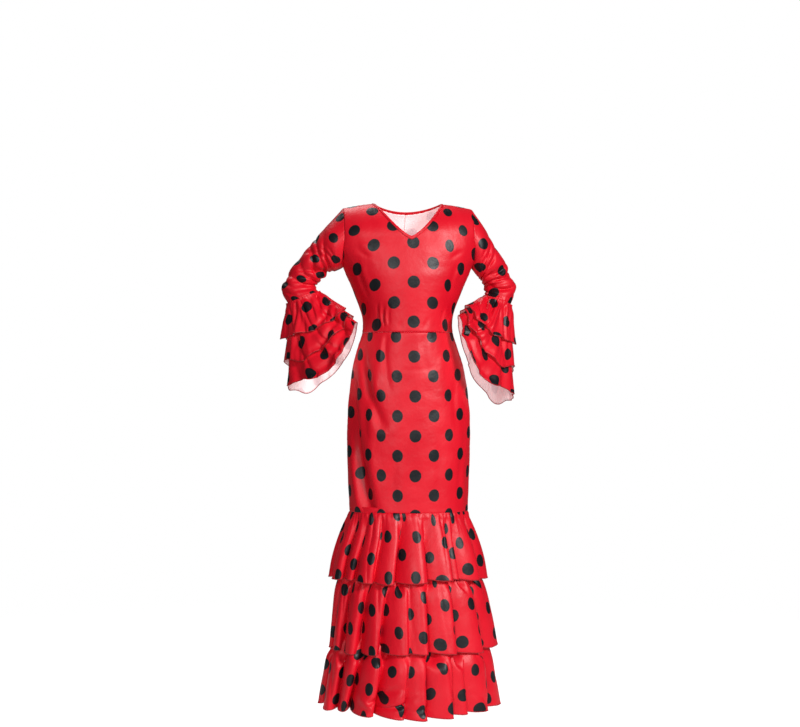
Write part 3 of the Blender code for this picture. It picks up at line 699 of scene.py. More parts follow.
# A colour with the print's dots on it: rows of dots, and one more in the middle of each square of four
def dotted(tree, place, dot, edge, colour, ink):
    add = functools.partial(addNode, tree)
    cell = printLook["cell"]
    perCell = (1000 / cell, 1000 / cell, 0.0)
    swing = (2 * printLook["wobble"] / cell, 2 * printLook["wobble"] / cell, 0.0)
    half = (0.5, 0.5, 0.5)
    noise = add(
        "ShaderNodeTexNoise", {"noise_dimensions": "2D"},
        {"Vector": place, "Scale": 1000 / printLook["wobbleSize"], "Detail": 2.0},
    )
    centred = add("ShaderNodeVectorMath", {"operation": "SUBTRACT"}, {0: noise.outputs["Color"], 1: half})
    wobble = add("ShaderNodeVectorMath", {"operation": "MULTIPLY"}, {0: centred, 1: swing})
    moved = add("ShaderNodeVectorMath", {"operation": "MULTIPLY_ADD"}, {0: place, 1: perCell, 2: wobble})
    away = []
    for shift in (0.0, 0.5):
        shifted = add("ShaderNodeVectorMath", {"operation": "ADD"}, {0: moved, 1: (shift, shift, 0.0)})
        part = add("ShaderNodeVectorMath", {"operation": "FRACTION"}, {0: shifted})
        length = add("ShaderNodeVectorMath", {"operation": "DISTANCE"}, {0: part, 1: (0.5, 0.5, 0.0)})
        away.append(length.outputs["Value"])
    nearest = add("ShaderNodeMath", {"operation": "MINIMUM"}, {0: away[0], 1: away[1]})
    share = add(
        "ShaderNodeMapRange", {"interpolation_type": "SMOOTHSTEP"},
        {"Value": nearest, "From Min": (dot + edge) / cell, "From Max": (dot - edge) / cell},
    )
    inputs = {"Factor": share, 6: colour, 7: linear(ink)}
    return add("ShaderNodeMix", {"data_type": "RGBA"}, inputs).outputs[2]


# Fine floats of a satin weave.  Real threads lie 0.15 mm apart; these are drawn at 0.6 mm so that they show.
weave = dict(across=0.6, along=2.4, depth=0.12, crinkle=16.0, crinkleDepth=1.2, crinkleStrength=0.5)


def weaveBump(tree, place, strength):
    perThread = (1000 / weave["across"], 1000 / weave["along"], 1.0)
    flat = {"noise_dimensions": "2D"}
    stretched = addNode(tree, "ShaderNodeVectorMath", {"operation": "MULTIPLY"}, {0: place, 1: perThread})
    threads = addNode(tree, "ShaderNodeTexNoise", flat, {"Vector": stretched, "Scale": 1.0, "Detail": 1.0})
    size = {"Scale": 1000 / weave["crinkle"], "Detail": 3.0, "Roughness": 0.55}
    crinkle = addNode(tree, "ShaderNodeTexNoise", flat, dict(size, Vector=place))
    depth = {"Strength": strength, "Distance": weave["depth"] * mm}
    fine = addNode(tree, "ShaderNodeBump", {}, dict(depth, Height=threads))
    depth = {"Strength": weave["crinkleStrength"], "Distance": weave["crinkleDepth"] * mm}
    return addNode(tree, "ShaderNodeBump", {}, dict(depth, Height=crinkle, Normal=fine))


# Polyester satin, printed on its face: a smooth, dense cloth with a soft, broad shine
def satin(tree, printed):
    place = addNode(tree, "ShaderNodeUVMap", {"uv_map": "clothMap"})
    colour, shade = mottled(tree, place, 70.0, 2.0, "#D00820", "#E50B25")
    rough = {"Value": shade, "From Min": 0.3, "From Max": 0.7, "To Min": 0.39, "To Max": 0.49}
    if printed:
        colour = dotted(tree, place, printLook["dot"], printLook["edge"], colour, "#0D0F14")
    return {
        "Base Color": colour,
        "Roughness": addNode(tree, "ShaderNodeMapRange", {}, rough),
        "Normal": weaveBump(tree, place, 0.35),
        "Specular IOR Level": 0.34,
        "IOR": 1.5,
    }


# The wrong side of the same cloth: matt, nearly white, with the dots showing through faintly.  The emission
# stands for the light outside that comes through it.
def reverse(tree):
    place = addNode(tree, "ShaderNodeUVMap", {"uv_map": "clothMap"})
    pale = mottled(tree, place, 25.0, 4.0, "#FBE6E7", "#FDEFEF")[0]
    return {
        "Base Color": dotted(tree, place, printLook["reverseDot"], printLook["reverseEdge"], pale, "#DCCBCF"),
        "Normal": weaveBump(tree, place, 0.5),
        "Roughness": 0.7,
        "Emission Color": linear("#FFDADA"),
        "Emission Strength": 0.16,
    }


# Spun polyester sewing thread, a darker red than the cloth, matt with a fine twist
def sewingThread(tree):
    place = addNode(tree, "ShaderNodeTexCoord").outputs["Object"]
    colour, twist = mottled(tree, place, 0.8, 2.0, "#8E0F1A", "#C21524", "3D")
    fine = addNode(tree, "ShaderNodeBump", {}, {"Height": twist, "Strength": 0.5, "Distance": 0.2 * mm})
    return {"Base Color": colour, "Normal": fine, "Roughness": 0.6}


def newMaterial(name, inputsOf, *given):
    material = bpy.data.materials.new(name)
    material.use_nodes = True
    tree = material.node_tree
    setInputs(tree, tree.nodes["Principled BSDF"], inputsOf(tree, *given))
    return material


plainCloth = (newMaterial("plainPolyesterSatin", satin, False),) * 3
spunThread = newMaterial("spunPolyesterThread", sewingThread)
printedCloth = (
    newMaterial("printedPolyesterSatin", satin, True), newMaterial("satinReverse", reverse), spunThread,
)
print("materials made")


def fourCorners(grid):
    return np.stack([grid[:-1, :-1], grid[:-1, 1:], grid[1:, 1:], grid[1:, :-1]], axis=2)


# A grid of points as the cloth that stands for a solid, with its thickness laid on the inner side
def makeSheet(node, points, outward, flat, closed, cut, thickness=clothThickness, materials=printedCloth):
    rows, columns = points.shape[:2]
    index = np.arange(rows * columns).reshape(rows, columns)
    if closed:
        index = np.concatenate([index, index[:, :1]], axis=1)
    corners = fourCorners(index).reshape(-1, 4)
    uvs = fourCorners(flat).reshape(-1, 4, 2)
    spots = points.reshape(-1, 3)
    diagonals = spots[corners[:, 2:]] - spots[corners[:, :2]]
    across = np.cross(diagonals[:, 0], diagonals[:, 1])
    area = np.linalg.norm(across, axis=-1).sum() / 2 * mm**2
    if np.einsum("ij,ij->i", across, outward.reshape(-1, 3)[corners[:, 0]]).mean() < 0:
        corners = corners[:, ::-1]
        uvs = uvs[:, ::-1]
    mesh = bpy.data.meshes.new(node + "_cloth")
    mesh.vertices.add(len(spots))
    mesh.vertices.foreach_set("co", (spots * mm).astype(np.float32).ravel())
    mesh.loops.add(corners.size)
    mesh.loops.foreach_set("vertex_index", corners.astype(np.int32).ravel())
    mesh.polygons.add(len(corners))
    mesh.polygons.foreach_set("loop_start", np.arange(0, corners.size, 4, dtype=np.int32))
    mesh.update(calc_edges=True)
    layer = mesh.uv_layers.new(name="clothMap")
    layer.uv.foreach_set("vector", (uvs * mm).astype(np.float32).ravel())
    mesh.shade_smooth()
    for material in materials:
        mesh.materials.append(material)
    made = addObject(mesh.name, mesh)
    solid = made.modifiers.new("clothThickness", "SOLIDIFY")
    solid.thickness = thickness * mm
    solid.offset = -1.0
    solid.use_rim = True
    solid.material_offset = 1
    solid.material_offset_rim = 2
    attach(made, "root")
    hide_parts(node)
    print(f"{made.name}: cloth {area:.4f} m2, cut {cut['flat']}")


# A cut says where a piece's print starts and how it is turned, in millimetres and degrees, and its flat size
# in metres.
panelCuts = {
    cut["node"]: cut
    for cut in records(
        "node printX printY droop flat restsOn area",
        ("bodice_front", 36.5, 43.0, 0.001, (0.43, 0.33), "skirt_front", 0.085),
        ("bodice_back_left", 23.0, 12.0, 0.0, (0.22, 0.33), "skirt_back_left", 0.045),
        ("bodice_back_right", 61.0, 33.0, 0.0, (0.22, 0.33), "skirt_back_right", 0.045),
        ("skirt_front", 36.5, 33.0, -0.0003, (0.33, 0.366), "bodice_front"),
        ("skirt_back_left", 9.0, 25.0, 0.0, (0.17, 0.366), "bodice_back_left"),
        ("skirt_back_right", 47.0, 70.0, 0.0, (0.17, 0.366), "bodice_back_right"),
    )
}
# Places across a panel, and how far the print there is pulled sideways
sidePulls = {
    "bodice_front": ((60, 74, 100, 130), (0, 3, 12, 18)),
    "skirt_front": (
        (-150, -118, -92, -66, -32, 0, 44, 76, 103, 139),
        (-40, -34, -22, -10, -4, 0, 0, 7, 18, 23),
    ),
}
panelLook = dict(waves=0.35, seamReach=12.0)


# Side is 0 for a front panel, and -1 or 1 for the halves of the back
def bodyPanel(node, thetas, rises, side, creaseTable, seed):
    front = side == 0
    cut = panelCuts[node]
    normals = bodyNormals(thetas, rises)
    across, up = flatBody(thetas, rises, front)
    relief = creased(creaseTable, across if front else np.abs(across), up)
    relief = relief + softWaves(across, up, seed, panelLook["waves"])
    points = bodyPoint(thetas, rises)
    for away in edgeDistances(points).values():
        relief = relief * ease(away / panelLook["seamReach"])
    points = points + normals * relief[..., None]
    points = points + normals * sewnEdges(points, seed)[..., None]
    keepSeams(points, side)
    pulled = np.interp(across, *sidePulls[node]) if node in sidePulls else 0.0
    flat = cutPoint(across, -up - cut["droop"] * across**2, cut, 0.0, pulled)
    makeSheet(node, points, normals, flat, False, cut)


def makeBodice():
    left = halfGrid(True, 1)
    right = halfGrid(True, -1)
    grid = [np.concatenate([b[:, :0:-1], a], axis=1) for a, b in zip(left, right)]
    bodyPanel("bodice_front", *grid, 0, frontCreases, 11)
    bodyPanel("bodice_back_left", *halfGrid(False, 1), 1, backCreases, 12)
    bodyPanel("bodice_back_right", *halfGrid(False, -1), -1, backCreases, 13)


def makeSkirt():
    top = body["waist"] - body["seam"] / 2
    foot = body["skirtFoot"] + body["seam"] / 2
    levels = foot + (top - foot) * stations(panelMesh["skirtRows"], 0.35)
    whole = stations(2 * panelMesh["half"] + 1, 0.3) * math.pi
    half = stations(panelMesh["half"] + 1, 0.3) * quarter
    bodyPanel("skirt_front", *np.meshgrid(whole, levels), 0, skirtCreases, 21)
    bodyPanel("skirt_back_left", *np.meshgrid(half - quarter, levels), 1, skirtBackCreases, 22)
    bodyPanel("skirt_back_right", *np.meshgrid(-half - quarter, levels), -1, skirtBackCreases, 23)


makeBodice()
print("bodice made")
makeSkirt()
print("skirt made")

skirtPanels = "skirt_front skirt_back_left skirt_back_right"
# The gathered tiers.  Ridges say where the print starts on each ridge between two valleys, and slant and drop
# shift it at four places round the front.
tiers = records(
    "top hem deepen narrow radius grain printX printY fullness flat restsOn ridges slant drop",
    (
        -629.15, -764.0, 1.75, 0.78, 640.0, -6.1, 64.0, 5.7, 1.341,
        (1.12, 0.145), skirtPanels,
        (44, 32, 19, 35, -25, -4, -30, -50, -20), (4, -1, 4, 2), (1.7, -0.7, 3.7, -2.3),
    ),
    (
        -735.0, -907.0, 2.5, 0.82, 900.0, -9.6, 22.4, 57.0, 1.287,
        (1.21, 0.18), "underskirt",
        (38, -5, -35, 14, 5, 8, -7, -18), (14, 15, 9, 4), (7.7, -2.6, -1.1, -0.2),
    ),
    (
        -872.0, -1033.0, 2.5, 0.82, 900.0, 21.8, 38.8, 6.9, 1.22,
        (1.32, 0.17), "underskirt",
        (-57, -57, -22, -15, 38, 38, 20, 34, 21), (-4, -7, -3, 0), (-1.8, 2.3, -0.1, 0.1),
    ),
)
layerGap = 5.0
hemSwing = 4.0
layerRelease = 1.1
layerSoftness = 5.0
gatherLook = dict(
    columns=720, rows=46, broad=0.5, broadWidth=2.1, fill=6.5, onset=0.62, baseRoom=5.0, skew=1.0,
    skewRest=9.0, radius=150.0, folds=23, foldDepth=6.0, small=70, smallDepth=1.2, smallReach=0.16, lean=0.30,
    hemWaves=52, hemFlutter=0.9, hemRise=0.22, hiddenWidth=3.0, tuck=3.0, tuckDepth=1.5, rollWidth=1.7,
    printPlaces=(-90, -30, 30, 90),
)
# Slanting creases where the lowest tier is crumpled, in degrees round the body and height
hemCreases = table(
    creaseNames,
    (-34, -1006, -12, -966, 2.6, 9),
    (-24, -1020, -2, -988, 2.2, 8),
    (-14, -1030, 6, -1002, 2.6, 3),
    (-40, -984, -30, -1022, 2.4, -4),
    (2, -1024, 11, -986, 2.6, 3.5),
    (52, -1024, 44, -990, 2.4, 3),
    (-150, -1020, -132, -984, 2.6, 4),
)


def valleyDepth(tab, angle, down, look):
    out = 0.0
    for valley in rowsOf(tab):
        off = turnBetween(angle, valley["angle"] + valley["drift"] * (1 - down))
        off = off / valley["width"] / look["narrow"]
        shape = (1 - look["broad"]) * bump(off) + look["broad"] * bump(off, look["broadWidth"])
        out = out + valley["depth"] * (look["deepen"] if valley["depth"] > 0 else 1.0) * shape
    return (out - look["fill"]) * np.clip(down, 0, 1) ** look["onset"]


# The sides of a valley lean towards each other, which draws the fold's line sharp
def valleyLean(tab, angle, down):
    out = 0.0
    for valley in rowsOf(tab):
        off = turnBetween(angle, valley["angle"] + valley["drift"] * (1 - down))
        strength = np.clip(valley["depth"] / 12, -1, 1)
        out = out - gatherLook["lean"] * strength * 2 * off * bump(off, valley["width"])
    return out * np.clip(down * 2.5, 0, 1)


def hemWave(angle, number):
    a = np.radians(angle)
    wave = 2.0 * np.sin(3 * a + 1.3 * number) + 1.4 * np.sin(5 * a + 2.1 * number)
    if number == 1:
        wave = wave + 8.0 * bump(turnBetween(angle, 88), 20)
    if number == 2:
        wave = wave + 13.0 * np.sin(a) ** 2
    return wave


# Room between two sets of sections, each at its own height
def roomBetween(outer, outerHeight, inner, innerHeight):
    parts = ("halfWidth", "frontDepth")
    return np.minimum(*(read(outer, part, outerHeight) - read(inner, part, innerHeight) for part in parts))


# How far a tier stands out from its sections.  Its valleys stop short of the underskirt, and it stays under
# the tier above.
def tierSwell(number, angle, height):
    tier = tiers[number]
    sections = tierSections[number]
    down = np.clip((tier["top"] - height) / (tier["top"] - tier["hem"]), 0, 1)
    look = dict(gatherLook, deepen=tier["deepen"], narrow=tier["narrow"])
    inward = valleyDepth(tierValleys[number], angle, down, look)
    room = roomBetween(sections, height, baseSections, height) - gatherLook["baseRoom"]
    free = -least(inward, np.maximum(room, 1.0), layerSoftness)
    if number == 0:
        return free
    hem = tiers[number - 1]["hem"]
    held = np.maximum(height, hem)
    limit = roomBetween(tierSections[number - 1], held, sections, height) - layerGap
    limit = limit + tierSwell(number - 1, angle, held) + layerRelease * np.maximum(hem - hemSwing - height, 0)
    return least(free, limit, layerSoftness)


# Folds that start in the gathers and run out before the hem, and the small gathers at the seam itself
def gatherRelief(number, angle, down):
    seed = 40 + 10 * number
    folds = pleated(angle + 3 * np.sin(2.2 * down + number), gatherLook["folds"], seed)
    strength = slowly(angle, seed + 1, 0.35, 1.0)
    length = slowly(angle, seed + 2, 0.45, 1.3)
    along = ease(down / 0.10) * (0.16 + 0.84 * bump(down, length))
    small = pleated(angle, gatherLook["small"], seed + 3) - 1
    fade = np.exp(-down / (gatherLook["smallReach"] * slowly(angle, seed + 4, 0.5, 1.5)))
    out = gatherLook["foldDepth"] * strength * along * (folds**0.8 - 1)
    return out + gatherLook["smallDepth"] * fade * small * ease(down / 0.012 + 0.3)


def tierPoint(number, theta, height):
    tier = tiers[number]
    angle = 90 - np.degrees(theta)
    down = np.clip((tier["top"] - height) / (tier["top"] - tier["hem"]), 0, 1)
    shown = ease((tiers[number - 1]["hem"] + 2 - height) / 24) if number else 1.0
    swell = tierSwell(number, angle, height) + gatherRelief(number, angle, down) * (0.35 + 0.65 * shown)
    if number == 2:
        swell = swell + creased(hemCreases, angle, height) * shown
    flutter = pleated(angle, gatherLook["hemWaves"], 70 + number) - 0.6
    flutter = gatherLook["hemFlutter"] * flutter * ease((down - 0.9) / 0.1)
    swell = swell + flutter
    # The ridges lean over the valley on one side of them
    skewed = gatherLook["skew"] * (swell + gatherLook["skewRest"]) * shown * np.clip(3 * down, 0, 1)
    lean = valleyLean(tierValleys[number], angle, down) * shown + np.degrees(skewed / gatherLook["radius"])
    plain = sectionPoint(tierSections[number], theta - np.radians(lean), height, swell)
    rise = gatherLook["hemRise"] * np.maximum(-swell, 0) * down**2
    return plain + stack(0, 0, hemWave(angle, number) * down**2 + rise + 0.6 * flutter)


# Where the points of a closed grid lie on the flat strip
def flatStrip(points, acrossRow, cut, gathers=None):
    across = lengthFrom(np.concatenate([points[acrossRow], points[acrossRow, :1]]))
    across -= across[points.shape[1] // 2]
    down = lengthFrom(points).mean(axis=1)
    pulled, dropped = gathers(down[:, None] / down[-1]) if gathers else (0.0, 0.0)
    return cutPoint(across[None, :], down[:, None] + dropped, cut, down[acrossRow], pulled)


# Each valley of a tier hides its own length of cloth, so the print starts afresh on every ridge
def gathersOf(number):
    tier = tiers[number]
    angle = 180 - 360 * np.arange(gatherLook["columns"] + 1) / gatherLook["columns"]
    places = gatherLook["printPlaces"]

    def gathers(down):
        pulled = tier["ridges"][0] + (down - 0.5) * np.interp(angle, places, tier["slant"])
        for step, valley in zip(np.diff(tier["ridges"]), rowsOf(tierValleys[number])):
            middle = valley["angle"] + valley["drift"] * (1 - down)
            pulled = pulled + step * ease((angle - middle) / gatherLook["hiddenWidth"] + 0.5)
        return pulled, np.interp(angle, places, tier["drop"])[None, :]

    return gathers


# The first ruffle's seam allowance, turned up inside the foot of the skirt
def tierTuck(theta):
    height = np.full_like(theta, body["skirtFoot"] + gatherLook["tuck"])
    return bodyPoint(theta, height) - bodyNormals(theta, height) * gatherLook["tuckDepth"]


# Rows of thread to be laid: the hems of the ruffles, and the stitching beside the binding and the closing
hems = []
stitching = []


def makeTiers():
    for number, tier in enumerate(tiers):
        heights = tier["top"] + (tier["hem"] - tier["top"]) * stations(gatherLook["rows"], 0.45)
        # The first column lies at the centre back
        thetas, levels = np.meshgrid(ringOfAngles(gatherLook["columns"]) - quarter, heights)
        surface = functools.partial(tierPoint, number)
        points = surface(thetas, levels)
        normals = normalsOf(surface, thetas, levels, turnStep, lengthStep, -1)
        flat = flatStrip(points, gatherLook["rows"] // 2, tier, gathersOf(number))
        if number == 0:
            roll = seamLook["roll"] * bump(levels - tier["top"], gatherLook["rollWidth"])
            points = np.concatenate([tierTuck(thetas[:1]), points - normals * roll[..., None]])
            normals = np.concatenate([normals[:1], normals])
            flat = np.concatenate([flat[:1], flat])
        node = f"skirt_ruffle_{number + 1}"
        makeSheet(node, points, normals, flat, True, dict(tier, held="gathered"))
        hems.append((node, points[-1], normals[-1]))


baseCut = dict(printX=0.0, printY=0.0, flat=(0.80, 0.27), restsOn=skirtPanels)


def basePoint(theta, height):
    plain = sectionPoint(baseSections, theta, height, 0)
    skirtSide = bodyPoint(theta, height) - bodyNormals(theta, height) * (body["wall"] + body["seam"])
    inside = ease((height - base["free"]) / (body["skirtFoot"] - base["free"]))[..., None]
    return plain + (skirtSide - plain) * inside


def makeUnderskirt():
    heights = base["top"] + (base["foot"] - base["top"]) * stations(base["rows"], 0.3)
    thetas, levels = np.meshgrid(ringOfAngles(base["columns"]), heights)
    normals = normalsOf(basePoint, thetas, levels, turnStep, lengthStep, -1)
    relief = softWaves(160 * np.sin(thetas), levels, 31, 0.6) - 0.6
    relief = relief * ease((base["free"] - levels) / 30)
    points = basePoint(thetas, levels) + normals * relief[..., None]
    flat = flatStrip(points, base["rows"] // 2, baseCut)
    makeSheet("underskirt", points, normals, flat, True, baseCut, materials=plainCloth)


makeTiers()
print("skirt ruffles made")
makeUnderskirt()
print("underskirt made")

sleeveLook = dict(
    columns=150, rows=130, deepen=1.7, fineDeepen=2.0, steepest=0.75, slantTurn=60.0, armholeFade=1.6,
    wrinkles=1.1, wrinkleDepth=8.5, seed=300, rounds=3000, tuck=2.5, tuckDepth=1.1, cuffTuck=3.0,
    cuffTuckDepth=2.6, capDepth=0.9, capFolds=34, cuffDepth=1.3, cuffFolds=30, gatherReach=7.0, waves=0.3,
)
# Pulls bend the print by powers of the place across and down: the two powers, then the shift each way
sleeveCuts = {
    "right": dict(
        grain=-13.3, printX=35.2, printY=8.6, fullness=1.09, length=1.06, flat=(0.25, 0.20), area=0.041,
        pulls=((2, 0, -2.5, 0.1), (1, 1, -4.7, -8.8), (0, 2, 6.1, 7.4)),
        restsOn="bodice_front bodice_back_right",
    ),
    "left": dict(
        grain=-23.3, printX=3.4, printY=40.8, fullness=1.14, length=1.04, flat=(0.25, 0.19), area=0.037,
        pulls=((2, 0, 5.0, 3.7), (1, 1, 0.2, -4.2), (0, 2, 6.6, -1.2)),
        restsOn="bodice_front bodice_back_left",
    ),
}
# More creases of the sleeves, finer than those of the solids
fineCreases = {
    "right": table(
        armCreaseNames,
        (1.2, 0.16, 60, 40, 1.2, 0.9),
        (1.9, 0.20, 75, 45, 1.6, 0.9),
        (2.9, 0.22, 110, 45, 2.4, 0.7),
        (3.3, 0.16, 30, 60, 2.6, 0.5),
        (4.1, 0.20, 85, 55, 2.8, 0.6),
        (4.45, 0.14, 20, 60, 2.2, 0.2),
        (5.3, 0.18, 95, 55, 2.6, 0.3),
        (6.2, 0.20, 60, 70, 2, 0.1),
        (5.6, 0.16, 160, 50, 1.8, -0.4),
        (2.2, 0.24, 300, 55, 1.8, -0.5),
        (4.2, 0.20, 270, 55, 2.4, -0.4),
        (5.7, 0.20, 290, 60, 2.2, -0.2),
    ),
    "left": table(
        armCreaseNames,
        (1.1, 0.16, 65, 40, 1.2, 0.9),
        (1.8, 0.20, 80, 45, 1.6, 0.9),
        (2.4, 0.18, 60, 50, 2, 0.6),
        (3.4, 0.20, 60, 60, 2.6, 0.6),
        (4.4, 0.18, 40, 60, 2.6, 0.4),
        (4.9, 0.16, 80, 60, 2.8, 0.2),
        (6, 0.18, 70, 70, 2.4, 0.1),
        (4.6, 0.18, 175, 40, 2.2, -0.5),
        (2.2, 0.24, 300, 55, 1.8, -0.5),
        (4, 0.20, 270, 55, 2.4, -0.4),
        (5.7, 0.20, 290, 60, 2.2, -0.2),
    ),
}


def armholePlace(phi, side):
    phi = phi % (2 * math.pi)
    front = phi <= math.pi
    climb = np.where(front, phi, 2 * math.pi - phi) / quarter
    start = body["shoulderStart"]
    below = body["underarm"] + (start - body["underarm"]) * climb
    level = np.where(climb < 1, below, start * (2 - climb))
    theta = np.where(front, armholeTheta(level, True), -armholeTheta(level, False))
    return (theta if side > 0 else math.pi - theta), level


# The sleeve's seam allowance, turned in under the edge of the armhole
def sleeveTuck(phi, side):
    place = armholePlace(phi, side)
    inward = np.array([-side * sleeveLook["tuck"], 0.0, 0.0])
    return bodyPoint(*place) + inward - bodyNormals(*place) * sleeveLook["tuckDepth"]


def armRing(arm, phi, ring):
    row = np.clip(ring, 0, seamRing)
    x = read(arm, "x", row) + read(arm, "innerX", row) * np.cos(phi)
    y = read(arm, "y", row) - read(arm, "depth", row) * np.sin(phi)
    z = read(arm, "z", row) + read(arm, "innerZ", row) * np.cos(phi)
    return stack(x, y, z)


def cuffSeam(arm, phi):
    return armRing(arm, phi, np.full_like(phi, seamRing))


def seamWayOut(arm, phi):
    return unit(cuffSeam(arm, phi) - np.array([read(arm, axis, seamRing) for axis in "xyz"]))


def armAxis(arm):
    axis = unit(np.cross(*seamWayOut(arm, np.array([0, quarter]))))
    return axis if axis[2] < 0 else -axis


# The allowance of the cuff seam, turned in under the top of the cuff
def cuffTuck(arm, phi):
    inward = seamWayOut(arm, phi) * sleeveLook["cuffTuckDepth"]
    return cuffSeam(arm, phi) + armAxis(arm) * sleeveLook["cuffTuck"] - inward


def sleeveRelief(tab, phi, ring, spacing, deepen):
    out = 0.0
    for crease in rowsOf(tab):
        off = turnBetween(np.degrees(phi), crease["angle"])
        middle = crease["ring"] + crease["slant"] * off / sleeveLook["slantTurn"]
        # A crease isn't deeper than it is wide, so the cloth never crosses itself
        depth = np.minimum(deepen * crease["depth"], sleeveLook["steepest"] * crease["reach"] * spacing)
        out = out + depth * bump(off, crease["spread"]) * bump(ring - middle, crease["reach"])
    return out * ease(ring * 2) * ease((seamRing - ring) * 1.5)


# Wrinkles that run out from the inner side of the elbow, a few to each stretch of the sleeve
def elbowWrinkles(side, phi, ring, spacing):
    rng = np.random.default_rng(sleeveLook["seed"] + side)
    bend = 0.30 * np.sin(phi + rng.uniform(0, 6)) + 0.16 * np.sin(2 * phi + rng.uniform(0, 6))
    turn = 2 * math.pi * sleeveLook["wrinkles"] * (ring + bend)
    turn = turn + 1.5 * np.sin(1.3 * ring + phi + rng.uniform(0, 6))
    turn = turn + 0.8 * np.sin(2.9 * ring + rng.uniform(0, 6))
    shape = 1 - np.abs(np.sin(turn / 2)) ** 0.75
    strength = 0.45 + 0.55 * np.sin(1.9 * ring + 2 * phi + rng.uniform(0, 6)) ** 2
    inner = 0.35 + 0.65 * (1 + np.cos(phi - 0.6)) / 2
    depth = np.minimum(sleeveLook["wrinkleDepth"] * inner, 0.45 * spacing / sleeveLook["wrinkles"])
    return depth * shape * strength * ease((ring - 0.9) / 1.8) * ease((seamRing - ring) * 1.2)


def sleevePoint(name, phi, ring, creases=1.0):
    arm = armSections[name]
    edge = armRing(arm, phi, ring)
    inward = armRing(arm, phi + math.pi, ring) - edge
    spacing = np.linalg.norm(armRing(arm, phi, ring + 0.3) - armRing(arm, phi, ring - 0.3), axis=-1) / 0.6
    depth = sleeveRelief(armCreases[name], phi, ring, spacing, creases * sleeveLook["deepen"])
    depth = depth + sleeveRelief(fineCreases[name], phi, ring, spacing, creases * sleeveLook["fineDeepen"])
    depth = depth + creases * elbowWrinkles(sides[name], phi, ring, spacing)
    shift = bodyPoint(*armholePlace(phi, sides[name])) - armRing(arm, phi, np.zeros_like(ring))
    fade = ease(1 - ring / sleeveLook["armholeFade"])[..., None]
    return edge + unit(inward) * depth[..., None] + shift * fade


# Flat places for a coarse grid of points: a net of springs, each as long as the cloth is there, comes to rest
def relaxed(points, flat, rounds):
    whole = slice(None)
    head = slice(0, -1)
    tail = slice(1, None)
    ends = [((whole, head), (whole, tail)), ((head, whole), (tail, whole))]
    ends += [((head, head), (tail, tail)), ((head, tail), (tail, head))]
    links = [(first, last, np.linalg.norm(points[last] - points[first], axis=-1)) for first, last in ends]
    for _ in range(rounds):
        moves = np.zeros_like(flat)
        for first, last, rest in links:
            gap = flat[last] - flat[first]
            pull = gap * (0.5 - 0.5 * rest / np.linalg.norm(gap, axis=-1))[..., None]
            moves[first] += pull
            moves[last] -= pull
        flat = flat + moves / 4
    return flat


# The sleeve laid flat, opened under the arm
def flatSleeve(name, phis, rings):
    coarsePhi = np.linspace(0, 2 * math.pi, 37)
    coarseRing = np.linspace(0, seamRing, 29)
    points = sleevePoint(name, *np.meshgrid(coarsePhi, coarseRing), 0.0)
    down = lengthFrom(points[:, :-1].mean(axis=1))
    girth = lengthFrom(points, 1)[:, -1].mean()
    start = np.stack(np.meshgrid(girth * (coarsePhi / (2 * math.pi) - 0.5), down), axis=-1)
    flat = relaxed(points, start, sleeveLook["rounds"])
    flat = flat - flat[0, len(coarsePhi) // 2]
    fine = []
    for axis in range(2):
        columns = np.array([np.interp(phis, coarsePhi, row) for row in flat[..., axis]])
        fine.append(np.array([np.interp(rings, coarseRing, column) for column in columns.T]).T)
    return cutPoint(*fine, sleeveCuts[name])


def makeSleeve(name):
    side = sides[name]
    levels = seamRing * stations(sleeveLook["rows"], 0.35)
    around = ringOfAngles(sleeveLook["columns"])
    phis, rings = np.meshgrid(around, levels)
    surface = functools.partial(sleevePoint, name)
    points = surface(phis, rings)
    measured = np.clip(rings, ringStep, seamRing - ringStep)
    normals = normalsOf(surface, phis, measured, turnStep, ringStep, -side)
    angle = np.degrees(phis)
    far = edgeDistances(points)
    # A little ease is gathered into the top of the sleeve, and more into the cuff seam
    onTop = 0.3 + np.clip(-np.cos(phis), 0, 1)
    cap = sleeveLook["capDepth"] * onTop * (pleated(angle, sleeveLook["capFolds"], 81 + side) - 1)
    foot = sleeveLook["cuffDepth"] * (pleated(angle, sleeveLook["cuffFolds"], 91 + side) - 1)
    relief = softWaves(35 * phis, 22 * rings, 95 + side, sleeveLook["waves"])
    relief = relief * ease(far["first"] / 9) * ease(far["last"] / 9)
    for edge, gathered in (("first", cap), ("last", foot)):
        relief += gathered * np.exp(-far[edge] / sleeveLook["gatherReach"])
        relief -= seamLook["roll"] * bump(far[edge], seamLook["rollWidth"])
    points = points + normals * relief[..., None]
    points[0, :, 0] += side * 0.15
    flat = flatSleeve(name, np.append(around, 2 * math.pi), levels)
    points = np.concatenate([sleeveTuck(phis[:1], side), points, cuffTuck(armSections[name], phis[-1:])])
    normals = np.concatenate([normals[:1], normals, normals[-1:]])
    flat = np.concatenate([flat[:1], flat, flat[-1:]])
    makeSheet("sleeve_" + name, points, normals, flat, True, sleeveCuts[name])


